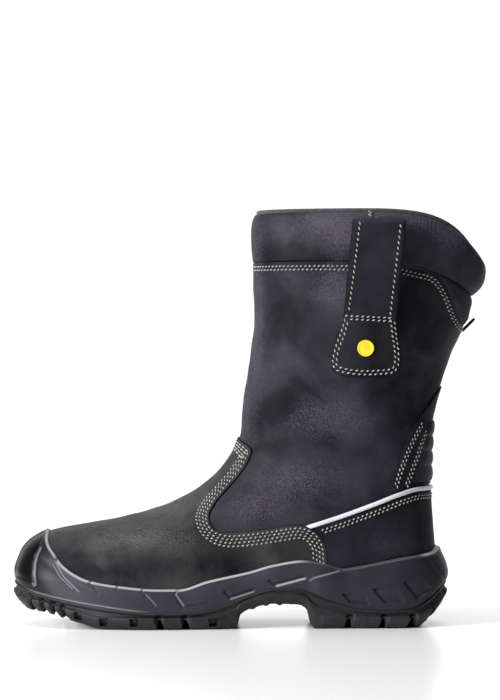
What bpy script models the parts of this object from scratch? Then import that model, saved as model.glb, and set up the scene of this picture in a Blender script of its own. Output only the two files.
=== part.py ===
"""Pull-on safety boot for the left foot, built from its last outwards.

Metres, +Z up. The toe points to -X and the outer side of the foot faces -Y.
The origin is on the floor, under the middle of the boot.
Tables are drawn in millimetres at the sample size and graded to the driving sizes.
"""

import math
from collections import namedtuple

import bmesh
import bpy
import numpy as np
from mathutils import Vector

MM = 0.001

# Driving sizes, in millimetres
SOLE_LENGTH = 301.0
BALL_WIDTH = 109.2
BOOT_HEIGHT = 289.0

# The sample size that the tables are drawn at
SAMPLE_LENGTH = 301.0
SAMPLE_BALL = 109.2
SAMPLE_HEIGHT = 289.0
GRADE = np.array((SOLE_LENGTH / SAMPLE_LENGTH, BALL_WIDTH / SAMPLE_BALL, BOOT_HEIGHT / SAMPLE_HEIGHT))

# Walls and gaps
WALL = 2.6
GAP = 0.3
CUP_GAP = 0.6
SEAM_GAP_ROWS = 0.006
BELLOWS_GAP_ROWS = 0.018
CAP_THICKNESS = 4.2
SIDEWALL_EDGE = 3.2
RIM_FROM = 0.7
FLARE_SHARE, FLARE_SHARE_HEEL = 0.62, 0.98
INSOLE_THICKNESS = 3.5
TREAD_DEPTH = 7.0
FAN_DEPTH = 5.0

# Mesh density
COLUMNS_A_SIDE = 24
BEND_CLEARANCE = 0.018
SHAFT_ROWS = 19
SIDEWALL_ROWS = 9
SHARP_ANGLE = math.radians(40)

# Sides of the boot: the sign of Y
OUTER = -1
INNER = 1

# Sections of the last with its leather, from the feather line to the rim of the collar.
# front and back are the ends of each section in the side view. ball, waist and heel are half widths.
# toe_round and heel_round are the shares of the length that the two ends take to round off.
# swing is how far the toe end turns to the inner side. drop bends a section down at the back,
# and sag is how much of the feather line's waviness it keeps.
Section = namedtuple(
    "Section",
    "front_x front_z back_x back_z ball waist heel toe_round heel_round swing waist_swing drop sag",
)
LAST = (
    Section(-156.5, 32.0, 124.0, 30.0, 46.5, 34.0, 33.5, 0.33, 0.13, 9.0, -5.0, 1.0, 1.00),
    Section(-158.6, 40.0, 126.6, 37.0, 49.3, 36.5, 36.5, 0.33, 0.14, 9.0, -5.0, 1.0, 0.85),
    Section(-157.3, 48.5, 128.2, 44.5, 50.0, 37.8, 38.0, 0.33, 0.15, 9.0, -4.6, 1.0, 0.60),
    Section(-151.5, 56.8, 128.5, 52.0, 48.3, 38.4, 38.8, 0.33, 0.15, 8.6, -4.2, 1.0, 0.35),
    Section(-139.0, 64.4, 128.0, 60.0, 45.4, 38.6, 39.2, 0.33, 0.16, 8.0, -3.6, 1.0, 0.12),
    Section(-116.0, 68.4, 127.2, 70.0, 41.6, 38.4, 39.0, 0.34, 0.17, 7.0, -2.8, 1.0, 0.00),
    Section(-88.0, 73.8, 126.2, 81.0, 38.6, 37.8, 38.4, 0.37, 0.20, 5.2, -2.0, 1.0, 0.00),
    Section(-57.0, 82.8, 125.6, 93.0, 36.8, 37.2, 37.6, 0.41, 0.25, 3.2, -1.2, 1.0, 0.00),
    Section(-33.5, 95.5, 125.3, 106.0, 36.6, 37.0, 37.0, 0.45, 0.30, 1.6, -0.6, 1.0, 0.00),
    Section(-15.8, 113.0, 125.6, 121.0, 37.2, 37.6, 36.6, 0.48, 0.36, 0.6, 0.0, 1.0, 0.00),
    Section(-6.8, 134.0, 126.8, 140.0, 38.4, 39.4, 37.4, 0.50, 0.42, 0.0, 0.0, 1.0, 0.00),
    Section(-4.4, 159.0, 131.5, 162.0, 40.6, 42.2, 40.0, 0.50, 0.48, 0.0, 0.0, 1.2, 0.00),
    Section(0.0, 187.0, 140.3, 188.0, 43.2, 45.6, 43.4, 0.50, 0.50, 0.0, 0.0, 1.8, 0.00),
    Section(2.8, 214.0, 149.0, 207.5, 45.6, 48.4, 46.2, 0.50, 0.50, 0.0, 0.0, 3.6, 0.00),
    Section(2.1, 252.3, 154.5, 229.0, 47.2, 50.4, 48.4, 0.50, 0.50, 0.0, 0.0, 5.6, 0.00),
    Section(2.0, 271.0, 159.0, 243.0, 47.4, 50.8, 49.0, 0.50, 0.50, 0.0, 0.0, 7.0, 0.00),
    Section(3.5, 289.0, 160.5, 256.5, 46.6, 50.2, 48.4, 0.50, 0.50, 0.0, 0.0, 8.0, 0.00),
)
INSTEP_ROW, VAMP_ROW, ANKLE_ROW, SHIN_ROW, SEAM_ROW, RIM_ROW = 3.0, 6.0, 9.0, 12.0, 14.0, 16.0
SQUARE_TOE = 2.4
SQUARE_SHAFT = 2.15
SQUARE_FADE_ROWS = 10.0
BALL_AT, WAIST_AT, HEEL_AT = 0.30, 0.58, 0.85

# Steps of the searches on the last's surface
HALVINGS = 40
LIFT_PASSES = 4
NORMAL_STEP = 0.02

# Outlines of the sole, seen from above: at its widest edge and at the tread
SOLE_EDGE = Section(-164.5, 0, 136.5, 0, 54.6, 40.5, 41.0, 0.34, 0.15, 9.0, -5.5, 1, 0)
SOLE_TREAD = Section(-161.0, 0, 133.5, 0, 51.6, 37.0, 38.0, 0.34, 0.15, 9.0, -5.5, 1, 0)

# Lines of the side view, as rows of x and z
Point = namedtuple("Point", "x z")
FEATHER = (
    Point(-156.5, 32.0), Point(-140, 27.0), Point(-110, 21.0), Point(-80, 18.2), Point(-52, 17.2),
    Point(-25, 19.2), Point(0, 24.0), Point(30, 28.6), Point(60, 30.0), Point(124, 30.0),
)
SIDEWALL_TOP = (
    Point(-141.0, 84.0), Point(-139.4, 58.0), Point(-133.9, 49.4), Point(-127.7, 42.4),
    Point(-119.8, 37.2), Point(-110.5, 33.4), Point(-91.4, 30.3), Point(-61.9, 28.0),
    Point(-48.8, 28.0), Point(-29.2, 33.5), Point(0, 39.8), Point(15.8, 44.3), Point(36, 47.3),
    Point(50.2, 45.5), Point(64.4, 41.6), Point(74.9, 43.1), Point(104.5, 49.0), Point(123.2, 51.8),
    Point(132.3, 58.5),
)
# The joint between midsole and outsole: its height at the edge, and under the foot
Joint = namedtuple("Joint", "x edge core")
JOINT = (
    Joint(-164.5, 30.5, 28.5), Joint(-153.1, 24.6, 23.0), Joint(-138.9, 21.3, 19.5),
    Joint(-105.5, 15.8, 14.6), Joint(-61.8, 11.4, 10.6), Joint(-40.0, 11.7, 10.8),
    Joint(-23.9, 14.5, 12.6), Joint(4.1, 25.0, 19.0), Joint(19.2, 28.2, 21.6), Joint(33.6, 27.6, 21.6),
    Joint(52.5, 20.1, 18.0), Joint(74.8, 13.8, 13.0), Joint(92.7, 12.2, 11.6), Joint(110.6, 13.4, 12.4),
    Joint(123.0, 19.8, 17.6), Joint(136.5, 31.8, 28.0),
)
JOINT_INSET = 8.0
SIDE_SHARE = 0.45
# The underside: toe spring, forefoot on the floor, step up to the arch, heel breast, heel on the floor
TREAD = (
    Point(-163.5, 21.0), Point(-156.4, 15.2), Point(-146.4, 12.0), Point(-131.0, 7.6), Point(-116.5, 3.8),
    Point(-98.0, 0.0), Point(-30.0, 0.0), Point(-9.0, 1.8), Point(-6.4, 10.2), Point(4.1, 15.1),
    Point(15.8, 17.2), Point(33.0, 16.6), Point(38.6, 13.6), Point(41.2, 4.6), Point(45.0, 0.0),
    Point(114.0, 0.0), Point(121.0, 4.2), Point(127.0, 9.2), Point(136.5, 20.6),
)
FIRST_BEND, LAST_BEND = 5, 16
# The shaft's top edge at the back, under the bellows
SHAFT_TOP = (
    Point(104.0, 262.0), Point(108.0, 248.6), Point(120.0, 246.2), Point(128.7, 243.4), Point(132.2, 239.1),
    Point(136.4, 232.6), Point(139.6, 225.6), Point(142.4, 217.5), Point(147.2, 210.4), Point(149.5, 208.8),
)
BELLOWS_FROM_X = 112.0
PIPING_LINE = (
    Point(36.0, 68.8), Point(60.0, 76.8), Point(85.0, 86.2), Point(104.0, 93.4), Point(116.0, 96.4),
    Point(127.0, 96.8),
)
PIPING_FROM_X = 40.3
PIPING_RADIUS = 1.5
# The ribbed pad: its front edge on either side, and its ribs
PAD_FRONT = (Point(108.6, 99.6), Point(113.6, 113.0), Point(119.0, 130.0), Point(124.0, 146.5))
PAD_RIBS = 4
PAD_LIFT = 0.4
PAD_RIB_HEIGHT = 1.4
PAD_EDGE_FADE = 0.16
# How full padding stands between two seams: 1 is a sine, and less is fuller
PUFF = 0.7


def smooth(xs, ys, at):
    """A curve through the points (xs, ys) that rises and falls only where they do, read at some places."""
    xs = np.asarray(xs, float)
    ys = np.asarray(ys, float)
    step = np.diff(xs)
    slope = np.diff(ys) / step
    before, after = slope[:-1], slope[1:]
    same_way = before * after > 0
    safe = np.where(same_way, before + after, 1.0)
    inner = np.where(same_way, 2 * before * after / safe, 0.0)
    tangent = np.concatenate((slope[:1], inner, slope[-1:]))
    at = np.clip(at, xs[0], xs[-1])
    i = np.clip(np.searchsorted(xs, at, side="right") - 1, 0, len(xs) - 2)
    h = step[i]
    t = (at - xs[i]) / h
    return (
        ys[i] * (1 + 2 * t) * (1 - t) ** 2
        + tangent[i] * h * t * (1 - t) ** 2
        + ys[i + 1] * t * t * (3 - 2 * t)
        + tangent[i + 1] * h * t * t * (t - 1)
    )


def line(points, x):
    """The height of a side-view line at x."""
    return smooth([p.x for p in points], [p.z for p in points], x)


def joint_height(x, column):
    """The height of the joint between midsole and outsole at x, at its edge or under the foot."""
    return smooth([j.x for j in JOINT], [getattr(j, column) for j in JOINT], x)


def ease(t):
    """0 below 0, 1 above 1, and a soft S between."""
    t = np.clip(t, 0.0, 1.0)
    return t * t * (3 - 2 * t)


def outline(section, s, side, square):
    """x and y of a section's outline: s runs from its front to its back, side is the sign of Y."""
    length = section.back_x - section.front_x
    half = (
        section.ball
        + (section.waist - section.ball) * ease((s - BALL_AT) / (WAIST_AT - BALL_AT))
        + (section.heel - section.waist) * ease((s - WAIST_AT) / (HEEL_AT - WAIST_AT))
    )
    front = np.clip(1 - s / section.toe_round, 0, 1)
    back = np.clip(1 - (1 - s) / section.heel_round, 0, 1)
    ends = ((1 - front**square) * (1 - back**square)) ** (1 / square)
    waist = ease((s - BALL_AT) / (WAIST_AT - BALL_AT)) * (1 - ease((s - WAIST_AT) / (HEEL_AT - WAIST_AT)))
    centre = section.swing * (1 - ease(s / BALL_AT)) + section.waist_swing * waist
    return section.front_x + length * s, centre + side * half * ends


def last_point(row, turn):
    """A point of the last's outer surface. row counts the sections from the feather line,
    and turn goes round: 0 at the front, half a turn at the back, the outer side first."""
    row, turn = np.broadcast_arrays(np.asarray(row, float), np.asarray(turn, float))
    numbers = np.arange(len(LAST))
    section = Section(*(smooth(numbers, column, row) for column in zip(*LAST)))
    s = (1 - np.cos(turn)) / 2
    side = np.where(np.sin(turn) >= 0, OUTER, INNER)
    square = SQUARE_TOE + (SQUARE_SHAFT - SQUARE_TOE) * ease(row / SQUARE_FADE_ROWS)
    x, y = outline(section, s, side, square)
    chord = LAST[0].front_z + (LAST[0].back_z - LAST[0].front_z) * s
    z = section.front_z + (section.back_z - section.front_z) * s**section.drop
    z = z + section.sag * (line(FEATHER, x) - chord)
    return np.stack((x, y, z), axis=-1)


def last(row, turn, lift=0.0):
    """A point of the last moved outwards by lift, along the surface's normal."""
    row, turn = np.broadcast_arrays(np.asarray(row, float), np.asarray(turn, float))
    d = NORMAL_STEP
    upward = last_point(np.minimum(row + d, RIM_ROW), turn) - last_point(np.maximum(row - d, 0), turn)
    around = last_point(row, turn + d) - last_point(row, turn - d)
    normal = np.cross(around, upward)
    normal /= np.linalg.norm(normal, axis=-1, keepdims=True)
    return last_point(row, turn) + normal * np.asarray(lift, float)[..., None]


def row_at(turn, points, low, high):
    """The row at which the last, at each turn, crosses a side-view line."""
    low = np.full(np.shape(turn), float(low))
    high = np.full(np.shape(turn), float(high))
    for _ in range(HALVINGS):
        middle = (low + high) / 2
        p = last_point(middle, turn)
        above = p[..., 2] > line(points, p[..., 0])
        high = np.where(above, middle, high)
        low = np.where(above, low, middle)
    return (low + high) / 2


def flank(x, z, side, lift=0.0):
    """The point at x and z in the side view, on one side of the boot, that stands off the last by lift."""
    x, z, lift = np.broadcast_arrays(np.asarray(x, float), np.asarray(z, float), np.asarray(lift, float))
    numbers = np.arange(len(LAST))
    front = [section.front_x for section in LAST]
    back = [section.back_x for section in LAST]
    foot_x, foot_z = x, z
    for _ in range(LIFT_PASSES):
        low = np.zeros(x.shape)
        high = np.full(x.shape, RIM_ROW)
        for _ in range(HALVINGS):
            row = (low + high) / 2
            start = smooth(numbers, front, row)
            s = (foot_x - start) / (smooth(numbers, back, row) - start)
            turn = np.arccos(np.clip(1 - 2 * s, -1, 1))
            above = last_point(row, turn)[..., 2] > foot_z
            high = np.where(above, row, high)
            low = np.where(above, low, row)
        place = last(row, turn if side == OUTER else 2 * math.pi - turn, lift)
        foot_x = foot_x + x - place[..., 0]
        foot_z = foot_z + z - place[..., 2]
    return place


def columns_round():
    """The turns at which every piece has a column: even round the boot, and at each bend of the underside."""
    length = SOLE_TREAD.back_x - SOLE_TREAD.front_x
    bends = np.array([(p.x - SOLE_TREAD.front_x) / length for p in TREAD[FIRST_BEND:LAST_BEND]])
    even = (1 - np.cos(np.linspace(0, math.pi, COLUMNS_A_SIDE))) / 2
    clear = np.abs(even[:, None] - bends).min(axis=1) > BEND_CLEARANCE
    half = np.arccos(1 - 2 * np.sort(np.concatenate((even[clear], bends))))
    return np.concatenate((half, 2 * math.pi - half[-2:0:-1]))


def skin(rings, closed=True, joined=False):
    """Vertices and faces of a surface through rings of points. closed closes each ring on itself,
    and joined joins the last ring to the first."""
    rings = np.asarray(rings, float)
    rows, count = rings.shape[:2]
    index = np.arange(rows * count).reshape(rows, count)
    beside = np.roll(index, -1, axis=1)
    corners = (index, beside, np.roll(beside, -1, axis=0), np.roll(index, -1, axis=0))
    faces = np.stack(corners, axis=-1)[: rows if joined else rows - 1, : count if closed else count - 1]
    return rings.reshape(-1, 3), [tuple(face) for face in faces.reshape(-1, 4).tolist()]


def ladder(count, start=0):
    """Faces across a closed ring of an even number of points, from its first point to the one opposite."""
    half, end = count // 2, start + count
    faces = [(start, start + 1, end - 1)]
    faces += [(start + c, start + c + 1, end - c - 1, end - c) for c in range(1, half - 1)]
    faces.append((start + half - 1, start + half, start + half + 1))
    return faces


def strip_cap(count, start=0):
    """Faces across a thin closed ring whose second half runs back along its first."""
    end = start + count - 1
    return [(start + c, start + c + 1, end - c - 1, end - c) for c in range(count // 2 - 1)]


def bar(rings):
    """Vertices and faces of a closed piece through thin rings, with both ends capped."""
    points, faces = skin(rings)
    count = len(rings[0])
    return points, faces + strip_cap(count) + strip_cap(count, len(points) - count)


def material(name, colour, roughness):
    """A plain finish of one linear colour and roughness."""
    made = bpy.data.materials.new(name)
    made.use_nodes = True
    shader = made.node_tree.nodes["Principled BSDF"]
    shader.inputs["Base Color"].default_value = (*colour, 1.0)
    shader.inputs["Roughness"].default_value = roughness
    made.diffuse_color = (*colour, 1.0)
    return made


def new_object(name, points, faces, finish, home):
    """A named mesh object from points in sample millimetres, with its faces turned outwards.
    Every four-sided face is split the same way, so that two pieces through the same rings stay parallel."""
    mesh = bpy.data.meshes.new(name)
    mesh.from_pydata((np.asarray(points) * GRADE * MM).tolist(), [], faces)
    work = bmesh.new()
    work.from_mesh(mesh)
    bmesh.ops.triangulate(work, faces=work.faces, quad_method="FIXED")
    bmesh.ops.recalc_face_normals(work, faces=work.faces)
    work.to_mesh(mesh)
    work.free()
    mesh.shade_smooth()
    mesh.set_sharp_from_angle(angle=SHARP_ANGLE)
    made = bpy.data.objects.new(name, mesh)
    home.objects.link(made)
    if finish:
        made.data.materials.append(finish)
    return made


def adopt(piece, name, finish, home):
    """Names a primitive, gives it its finish and moves it to its collection."""
    piece.name = name
    piece.data.name = name
    if finish:
        piece.data.materials.append(finish)
    for collection in list(piece.users_collection):
        collection.objects.unlink(piece)
    home.objects.link(piece)


def thicken(piece, thickness, offset):
    """Gives an open surface its wall: offset -1 grows it inwards, 0 both ways, 1 outwards."""
    wall = piece.modifiers.new("wall", "SOLIDIFY")
    wall.thickness = thickness * MM
    wall.offset = offset
    wall.use_even_offset = True
    return piece


def sole_ring(section, turn, column_height):
    """A ring round the sole along one of its outlines, at the height that column_height gives for each x."""
    x, y = outline(section, (1 - np.cos(turn)) / 2, np.where(np.sin(turn) >= 0, OUTER, INNER), SQUARE_TOE)
    return np.stack((x, y, column_height(x)), axis=-1)


def inset_ring(ring, distance):
    """A ring of the sole drawn in towards its middle line by a distance."""
    ahead = np.roll(ring, -1, axis=0) - np.roll(ring, 1, axis=0)
    inward = np.stack((-ahead[:, 1], ahead[:, 0], np.zeros(len(ring))), axis=-1)
    inward /= np.linalg.norm(inward, axis=-1, keepdims=True)
    return ring + inward * distance


def shaft_top_row(turn):
    """The row where the upper ends: the collar seam, or lower where the bellows fills the back."""
    return np.minimum(row_at(turn, SHAFT_TOP, ANKLE_ROW, SEAM_ROW), SEAM_ROW)


def make_upper(finish, home):
    """The leather wall from the feather line to the collar seam, dipping under the bellows at the back."""
    turn = columns_round()
    share = np.linspace(0, 1, SHAFT_ROWS)[:, None]
    rings = last(share * (shaft_top_row(turn) - SEAM_GAP_ROWS), turn)
    points, faces = skin(rings)
    return thicken(new_object("upper", points, faces, finish, home), WALL, -1)


def make_midsole(finish, home):
    """The moulded cup: side wall, toe cap and heel rise outside, the last's form inside, and a floor."""
    turn = columns_round()
    edge = row_at(turn, SIDEWALL_TOP, 0, VAMP_ROW)
    share = np.linspace(0, 1, SIDEWALL_ROWS)[:, None]
    lift = CAP_THICKNESS + (SIDEWALL_EDGE - CAP_THICKNESS) * ease((share - RIM_FROM) / (1 - RIM_FROM))
    outer = last(share * edge, turn, lift + 0 * edge)
    foot = sole_ring(SOLE_EDGE, turn, lambda x: joint_height(x, "edge") + GAP)
    heel = ease(((1 - np.cos(turn)) / 2 - HEEL_AT) / (1 - HEEL_AT))
    flare = 1 - ease(share / (FLARE_SHARE + (FLARE_SHARE_HEEL - FLARE_SHARE) * heel))
    outer = outer + flare[..., None] * (foot - outer[0])
    inner = last(share[::-1] * edge, turn, CUP_GAP + 0 * share * edge)
    inner[-1, :, 2] = last_point(0, turn)[:, 2] - GAP
    bottom = inset_ring(foot, JOINT_INSET)
    bottom[:, 2] = joint_height(bottom[:, 0], "core") + GAP
    points, faces = skin(np.concatenate((bottom[None], outer, inner)))
    faces += ladder(len(turn)) + ladder(len(turn), len(points) - len(turn))
    return new_object("midsole", points, faces, finish, home)


def make_insole(finish, home):
    """The footbed, standing on the midsole's floor inside the upper."""
    turn = columns_round()
    low = inset_ring(last_point(0, turn), WALL + 2 * GAP)
    low[:, 2] = line(FEATHER, low[:, 0]) + GAP / 2
    high = low + np.array((0, 0, INSOLE_THICKNESS))
    points, faces = skin(np.stack((low, high)))
    faces += ladder(len(turn)) + ladder(len(turn), len(turn))
    return new_object("insole", points, faces, finish, home)


# Grooves that part the edge lugs: place along the boot, width, reach inwards and slant in degrees
Groove = namedtuple("Groove", "x width reach slant")
EDGE_GROOVES = (
    Groove(-117.5, 5.0, 20, -26), Groove(-100.0, 5.0, 24, -18), Groove(-79.0, 5.0, 26, -12),
    Groove(-60.8, 5.2, 27, -6), Groove(-43.9, 5.2, 27, 4), Groove(-25.3, 5.0, 25, 12),
    Groove(66.7, 5.4, 22, 10), Groove(91.0, 5.4, 22, -8),
)
# Grooves that fan out round the toe and the heel, from a hub at either end
Fan = namedtuple("Fan", "end x width reach")
FAN_GROOVES = (
    Fan("toe", -161.2, 3.4, 14), Fan("toe", -152.0, 3.4, 15), Fan("toe", -143.0, 3.4, 16),
    Fan("toe", -131.5, 3.6, 18), Fan("heel", 135.0, 4.2, 16), Fan("heel", 127.4, 4.2, 17),
    Fan("heel", 112.2, 4.6, 19),
)
FAN_HUBS = {"toe": (-102.5, 3.0), "heel": (88.5, 0.0)}
OVERCUT = 10.0
# Grooves between the centre lugs, across the middle of the tread
CENTRE_GROOVES = (
    Groove(-126.0, 5.0, 30, 0), Groove(-108.0, 5.0, 40, 14), Groove(-89.0, 5.0, 46, -14),
    Groove(-70.0, 5.0, 46, 14), Groove(-51.0, 5.0, 42, -14), Groove(-32.0, 5.0, 36, 14),
    Groove(62.0, 5.0, 30, 12), Groove(80.0, 5.0, 30, -12), Groove(98.0, 5.0, 30, 12),
)


def groove_cutter(name, centre, direction, length, width, depth, home):
    """A box that cuts one groove into the underside, from its middle, its direction and its sizes."""
    bpy.ops.mesh.primitive_cube_add(size=1)
    cutter = bpy.context.object
    floor = float(line(TREAD, centre[0]))
    cutter.location = (np.array((centre[0], centre[1], floor)) * GRADE * MM).tolist()
    cutter.rotation_euler = (0, 0, direction)
    cutter.scale = (length * MM, width * MM, 2 * depth * MM)
    cutter.display_type = "WIRE"
    cutter.hide_render = True
    adopt(cutter, name, None, home)


def edge_point(x, side):
    """The point of the sole's edge at x, on one side."""
    s = (x - SOLE_EDGE.front_x) / (SOLE_EDGE.back_x - SOLE_EDGE.front_x)
    return np.array(outline(SOLE_EDGE, np.array(s), side, SQUARE_TOE))


def cut_from_edge(name, edge, run, groove, depth, home):
    """A groove that runs in for its reach from a point of the sole's edge. run is its outward direction."""
    middle = edge - np.array((math.cos(run), math.sin(run))) * (groove.reach - OVERCUT) / 2
    groove_cutter(name, middle, run, groove.reach + OVERCUT, groove.width, depth, home)


def make_tread_cutters(home):
    """Every groove of the tread: from both edges, in fans round the ends, and between the centre lugs."""
    for side, word in ((OUTER, "outer"), (INNER, "inner")):
        for n, groove in enumerate(EDGE_GROOVES):
            edge = edge_point(groove.x, side)
            run = side * math.radians(90 + groove.slant)
            cut_from_edge(f"cut_edge_{word}_{n}", edge, run, groove, TREAD_DEPTH, home)
        for n, fan in enumerate(FAN_GROOVES):
            edge = edge_point(fan.x, side)
            hub_x, hub_y = FAN_HUBS[fan.end]
            run = math.atan2(edge[1] - hub_y, edge[0] - hub_x)
            cut_from_edge(f"cut_fan_{word}_{n}", edge, run, fan, FAN_DEPTH, home)
    for n, groove in enumerate(CENTRE_GROOVES):
        run = math.radians(90 + groove.slant)
        groove_cutter(f"cut_centre_{n}", (groove.x, 0.0), run, groove.reach, groove.width, TREAD_DEPTH, home)


def make_outsole(finish, home, cutters):
    """The rubber sole: its joint with the midsole above, a rounded side, and the tread with its grooves."""
    turn = columns_round()
    top = sole_ring(SOLE_EDGE, turn, lambda x: joint_height(x, "edge"))
    dish = inset_ring(top, JOINT_INSET)
    dish[:, 2] = joint_height(dish[:, 0], "core")
    tread = sole_ring(SOLE_TREAD, turn, lambda x: line(TREAD, x))
    side = sole_ring(SOLE_EDGE, turn, lambda x: line(TREAD, x))
    side[:, 2] += SIDE_SHARE * (top[:, 2] - side[:, 2])
    points, faces = skin(np.stack((dish, top, side, tread)))
    faces += ladder(len(turn)) + ladder(len(turn), len(points) - len(turn))
    sole = new_object("outsole", points, faces, finish, home)
    make_tread_cutters(cutters)
    cut = sole.modifiers.new("tread", "BOOLEAN")
    cut.operation = "DIFFERENCE"
    cut.operand_type = "COLLECTION"
    cut.collection = cutters
    return sole


# The collar's padded section: share of its height, and how far it stands out (in shares of its fullness)
# or in (in shares of its padding)
Profile = namedtuple("Profile", "height out")
COLLAR_PROFILE = (
    Profile(0.00, 0.00), Profile(0.14, 0.60), Profile(0.40, 1.00), Profile(0.72, 0.95),
    Profile(0.93, 0.40), Profile(1.00, -0.80), Profile(0.94, -2.00), Profile(0.66, -2.60),
    Profile(0.34, -2.60), Profile(0.08, -1.90), Profile(0.00, -1.00),
)
COLLAR_PADDING = 3.0
COLLAR_FRONT, COLLAR_SIDE, COLLAR_BACK = 0.9, 0.9, 3.2
COLLAR_BACK_FROM = 0.55


def make_collar(finish, home):
    """The padded band above the shaft: almost level with it in front, and swelling towards the back."""
    turn = columns_round()[:, None]
    s = (1 - np.cos(turn)) / 2
    height = np.array([p.height for p in COLLAR_PROFILE])
    out = np.array([p.out for p in COLLAR_PROFILE])
    back = ease((s - COLLAR_BACK_FROM) / (1 - COLLAR_BACK_FROM))
    fullness = COLLAR_FRONT + COLLAR_SIDE * ease(2 * s) + COLLAR_BACK * back
    lift = np.where(out > 0, out * fullness, out * COLLAR_PADDING)
    low = SEAM_ROW + SEAM_GAP_ROWS
    rings = last(low + height * (RIM_ROW - low) + 0 * turn, turn, lift)
    return new_object("collar", *skin(rings, joined=True), finish, home)


BELLOWS_SWELL = 2.2
BELLOWS_FULL_ROWS = 0.6
BELLOWS_ROWS = 7


def make_back_bellows(finish, home):
    """The padded crescent between the shaft's dipped back and the collar."""
    turn = columns_round()
    turn = turn[last_point(SEAM_ROW, turn)[:, 0] > BELLOWS_FROM_X][:, None]
    low = shaft_top_row(turn) + BELLOWS_GAP_ROWS
    high = SEAM_ROW - SEAM_GAP_ROWS
    share = np.linspace(0, 1, BELLOWS_ROWS)
    row = low + share * (high - low)
    fullness = ease((high - low) / BELLOWS_FULL_ROWS)
    outer = last(row, turn, BELLOWS_SWELL * fullness * np.sin(math.pi * share) ** PUFF)
    inner = last(row, turn, np.full(row.shape, -WALL))
    return new_object("back_bellows", *bar(np.concatenate((outer, inner[:, ::-1]), axis=1)), finish, home)


PAD_COLUMNS = 11
PAD_ROWS = 17


def make_achilles_pad(finish, home):
    """The ribbed pad: ribs across the back of the ankle, thinning out to its edges."""
    bottom, top = PAD_FRONT[0].z, PAD_FRONT[-1].z
    height = np.linspace(bottom, top, PAD_ROWS)
    front = smooth([p.z for p in PAD_FRONT], [p.x for p in PAD_FRONT], height)
    row = smooth([p.back_z for p in LAST], np.arange(len(LAST)), height)
    section_front = smooth(np.arange(len(LAST)), [p.front_x for p in LAST], row)
    section_back = smooth(np.arange(len(LAST)), [p.back_x for p in LAST], row)
    start = np.arccos(1 - 2 * (front - section_front) / (section_back - section_front))
    across = np.linspace(0, 1, PAD_COLUMNS)[:, None]
    turn = start + across * (2 * math.pi - 2 * start)
    along = (height - bottom) / (top - bottom)
    rib = np.abs(np.sin(math.pi * PAD_RIBS * along)) ** PUFF
    fade = ease(np.minimum(across, 1 - across) / PAD_EDGE_FADE)
    outer = last(row + 0 * turn, turn, 2 * GAP + PAD_LIFT + PAD_RIB_HEIGHT * rib * fade)
    inner = last(row + 0 * turn, turn, np.full(turn.shape, GAP))
    return new_object("achilles_pad", *bar(np.concatenate((outer, inner[:, ::-1]), axis=1)), finish, home)


PIPING_POINTS = 31
PIPING_SEARCH = 200
PIPING_FINENESS = 2


def make_reflective_piping(finish, home):
    """The bright cord round the heel: a tube that runs up from either side to the back."""
    sides = np.linspace(0, math.pi, PIPING_SEARCH)
    row = row_at(sides, PIPING_LINE, INSTEP_ROW, SHIN_ROW)
    start = sides[last_point(row, sides)[:, 0] > PIPING_FROM_X][0]
    turn = np.linspace(start, 2 * math.pi - start, PIPING_POINTS)
    row = row_at(turn, PIPING_LINE, INSTEP_ROW, SHIN_ROW)
    path = last(row, turn, np.full(PIPING_POINTS, PIPING_RADIUS + GAP))
    curve = bpy.data.curves.new("reflective_piping", "CURVE")
    curve.dimensions = "3D"
    curve.bevel_depth = PIPING_RADIUS * MM
    curve.bevel_resolution = PIPING_FINENESS
    curve.use_fill_caps = True
    spline = curve.splines.new("POLY")
    spline.points.add(PIPING_POINTS - 1)
    for point, place in zip(spline.points, path * GRADE * MM):
        point.co = (*place, 1.0)
    made = bpy.data.objects.new("reflective_piping", curve)
    made.data.materials.append(finish)
    home.objects.link(made)


# A pull loop from its sewn end up, over the fold and down to its tab: height, middle, half width, stand-off,
# and how far it is flat across instead of following the shaft round
Band = namedtuple("Band", "z x half lift flat")
LOOP_THICKNESS = 1.8
LOOP = (
    Band(205.0, 81.4, 17.0, 1.3, 0.0),
    Band(225.0, 83.0, 17.6, 1.3, 0.0),
    Band(240.0, 84.4, 17.8, 2.6, 0.0),
    Band(252.0, 85.5, 18.0, 4.4, 0.0),
    Band(264.0, 86.6, 18.0, 4.6, 0.0),
    Band(275.4, 87.6, 18.0, 4.6, 0.1),
    Band(278.8, 88.0, 18.0, 5.8, 0.3),
    Band(280.2, 88.1, 18.0, 8.6, 0.5),
    Band(278.8, 88.0, 18.2, 11.4, 0.7),
    Band(275.4, 87.6, 18.2, 12.6, 0.8),
    Band(264.0, 86.6, 18.3, 12.9, 0.8),
    Band(252.0, 85.5, 18.3, 12.4, 0.8),
    Band(236.0, 84.0, 18.3, 9.6, 0.7),
    Band(222.0, 82.8, 18.2, 6.2, 0.5),
    Band(212.0, 81.9, 18.4, 4.0, 0.2),
    Band(203.5, 80.6, 20.6, 3.2, 0.0),
    Band(198.0, 80.2, 21.8, 1.9, 0.0),
    Band(188.0, 79.6, 23.6, 1.4, 0.0),
    Band(179.5, 79.4, 23.6, 1.4, 0.0),
    Band(175.6, 79.4, 21.0, 1.4, 0.0),
    Band(173.8, 79.4, 16.0, 1.4, 0.0),
)
TAB_LIFT = 1.4
LOOP_COLUMNS = 5


def make_pull_loop(name, side, finish, home):
    """A leather band sewn to the shaft, folded over below the rim and ending in a flared tab."""
    z, x, half, lift, flat = (np.array(column)[:, None] for column in zip(*LOOP))
    x = x + half * np.linspace(-1, 1, LOOP_COLUMNS)
    grid = flank(x, z + 0 * x, side, lift + 0 * x)
    middle = grid[:, LOOP_COLUMNS // 2, 1][:, None]
    grid[:, :, 1] += flat * (middle - grid[:, :, 1])
    points, faces = skin(grid, closed=False)
    return thicken(new_object(name, points, faces, finish, home), LOOP_THICKNESS, 0)


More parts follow.
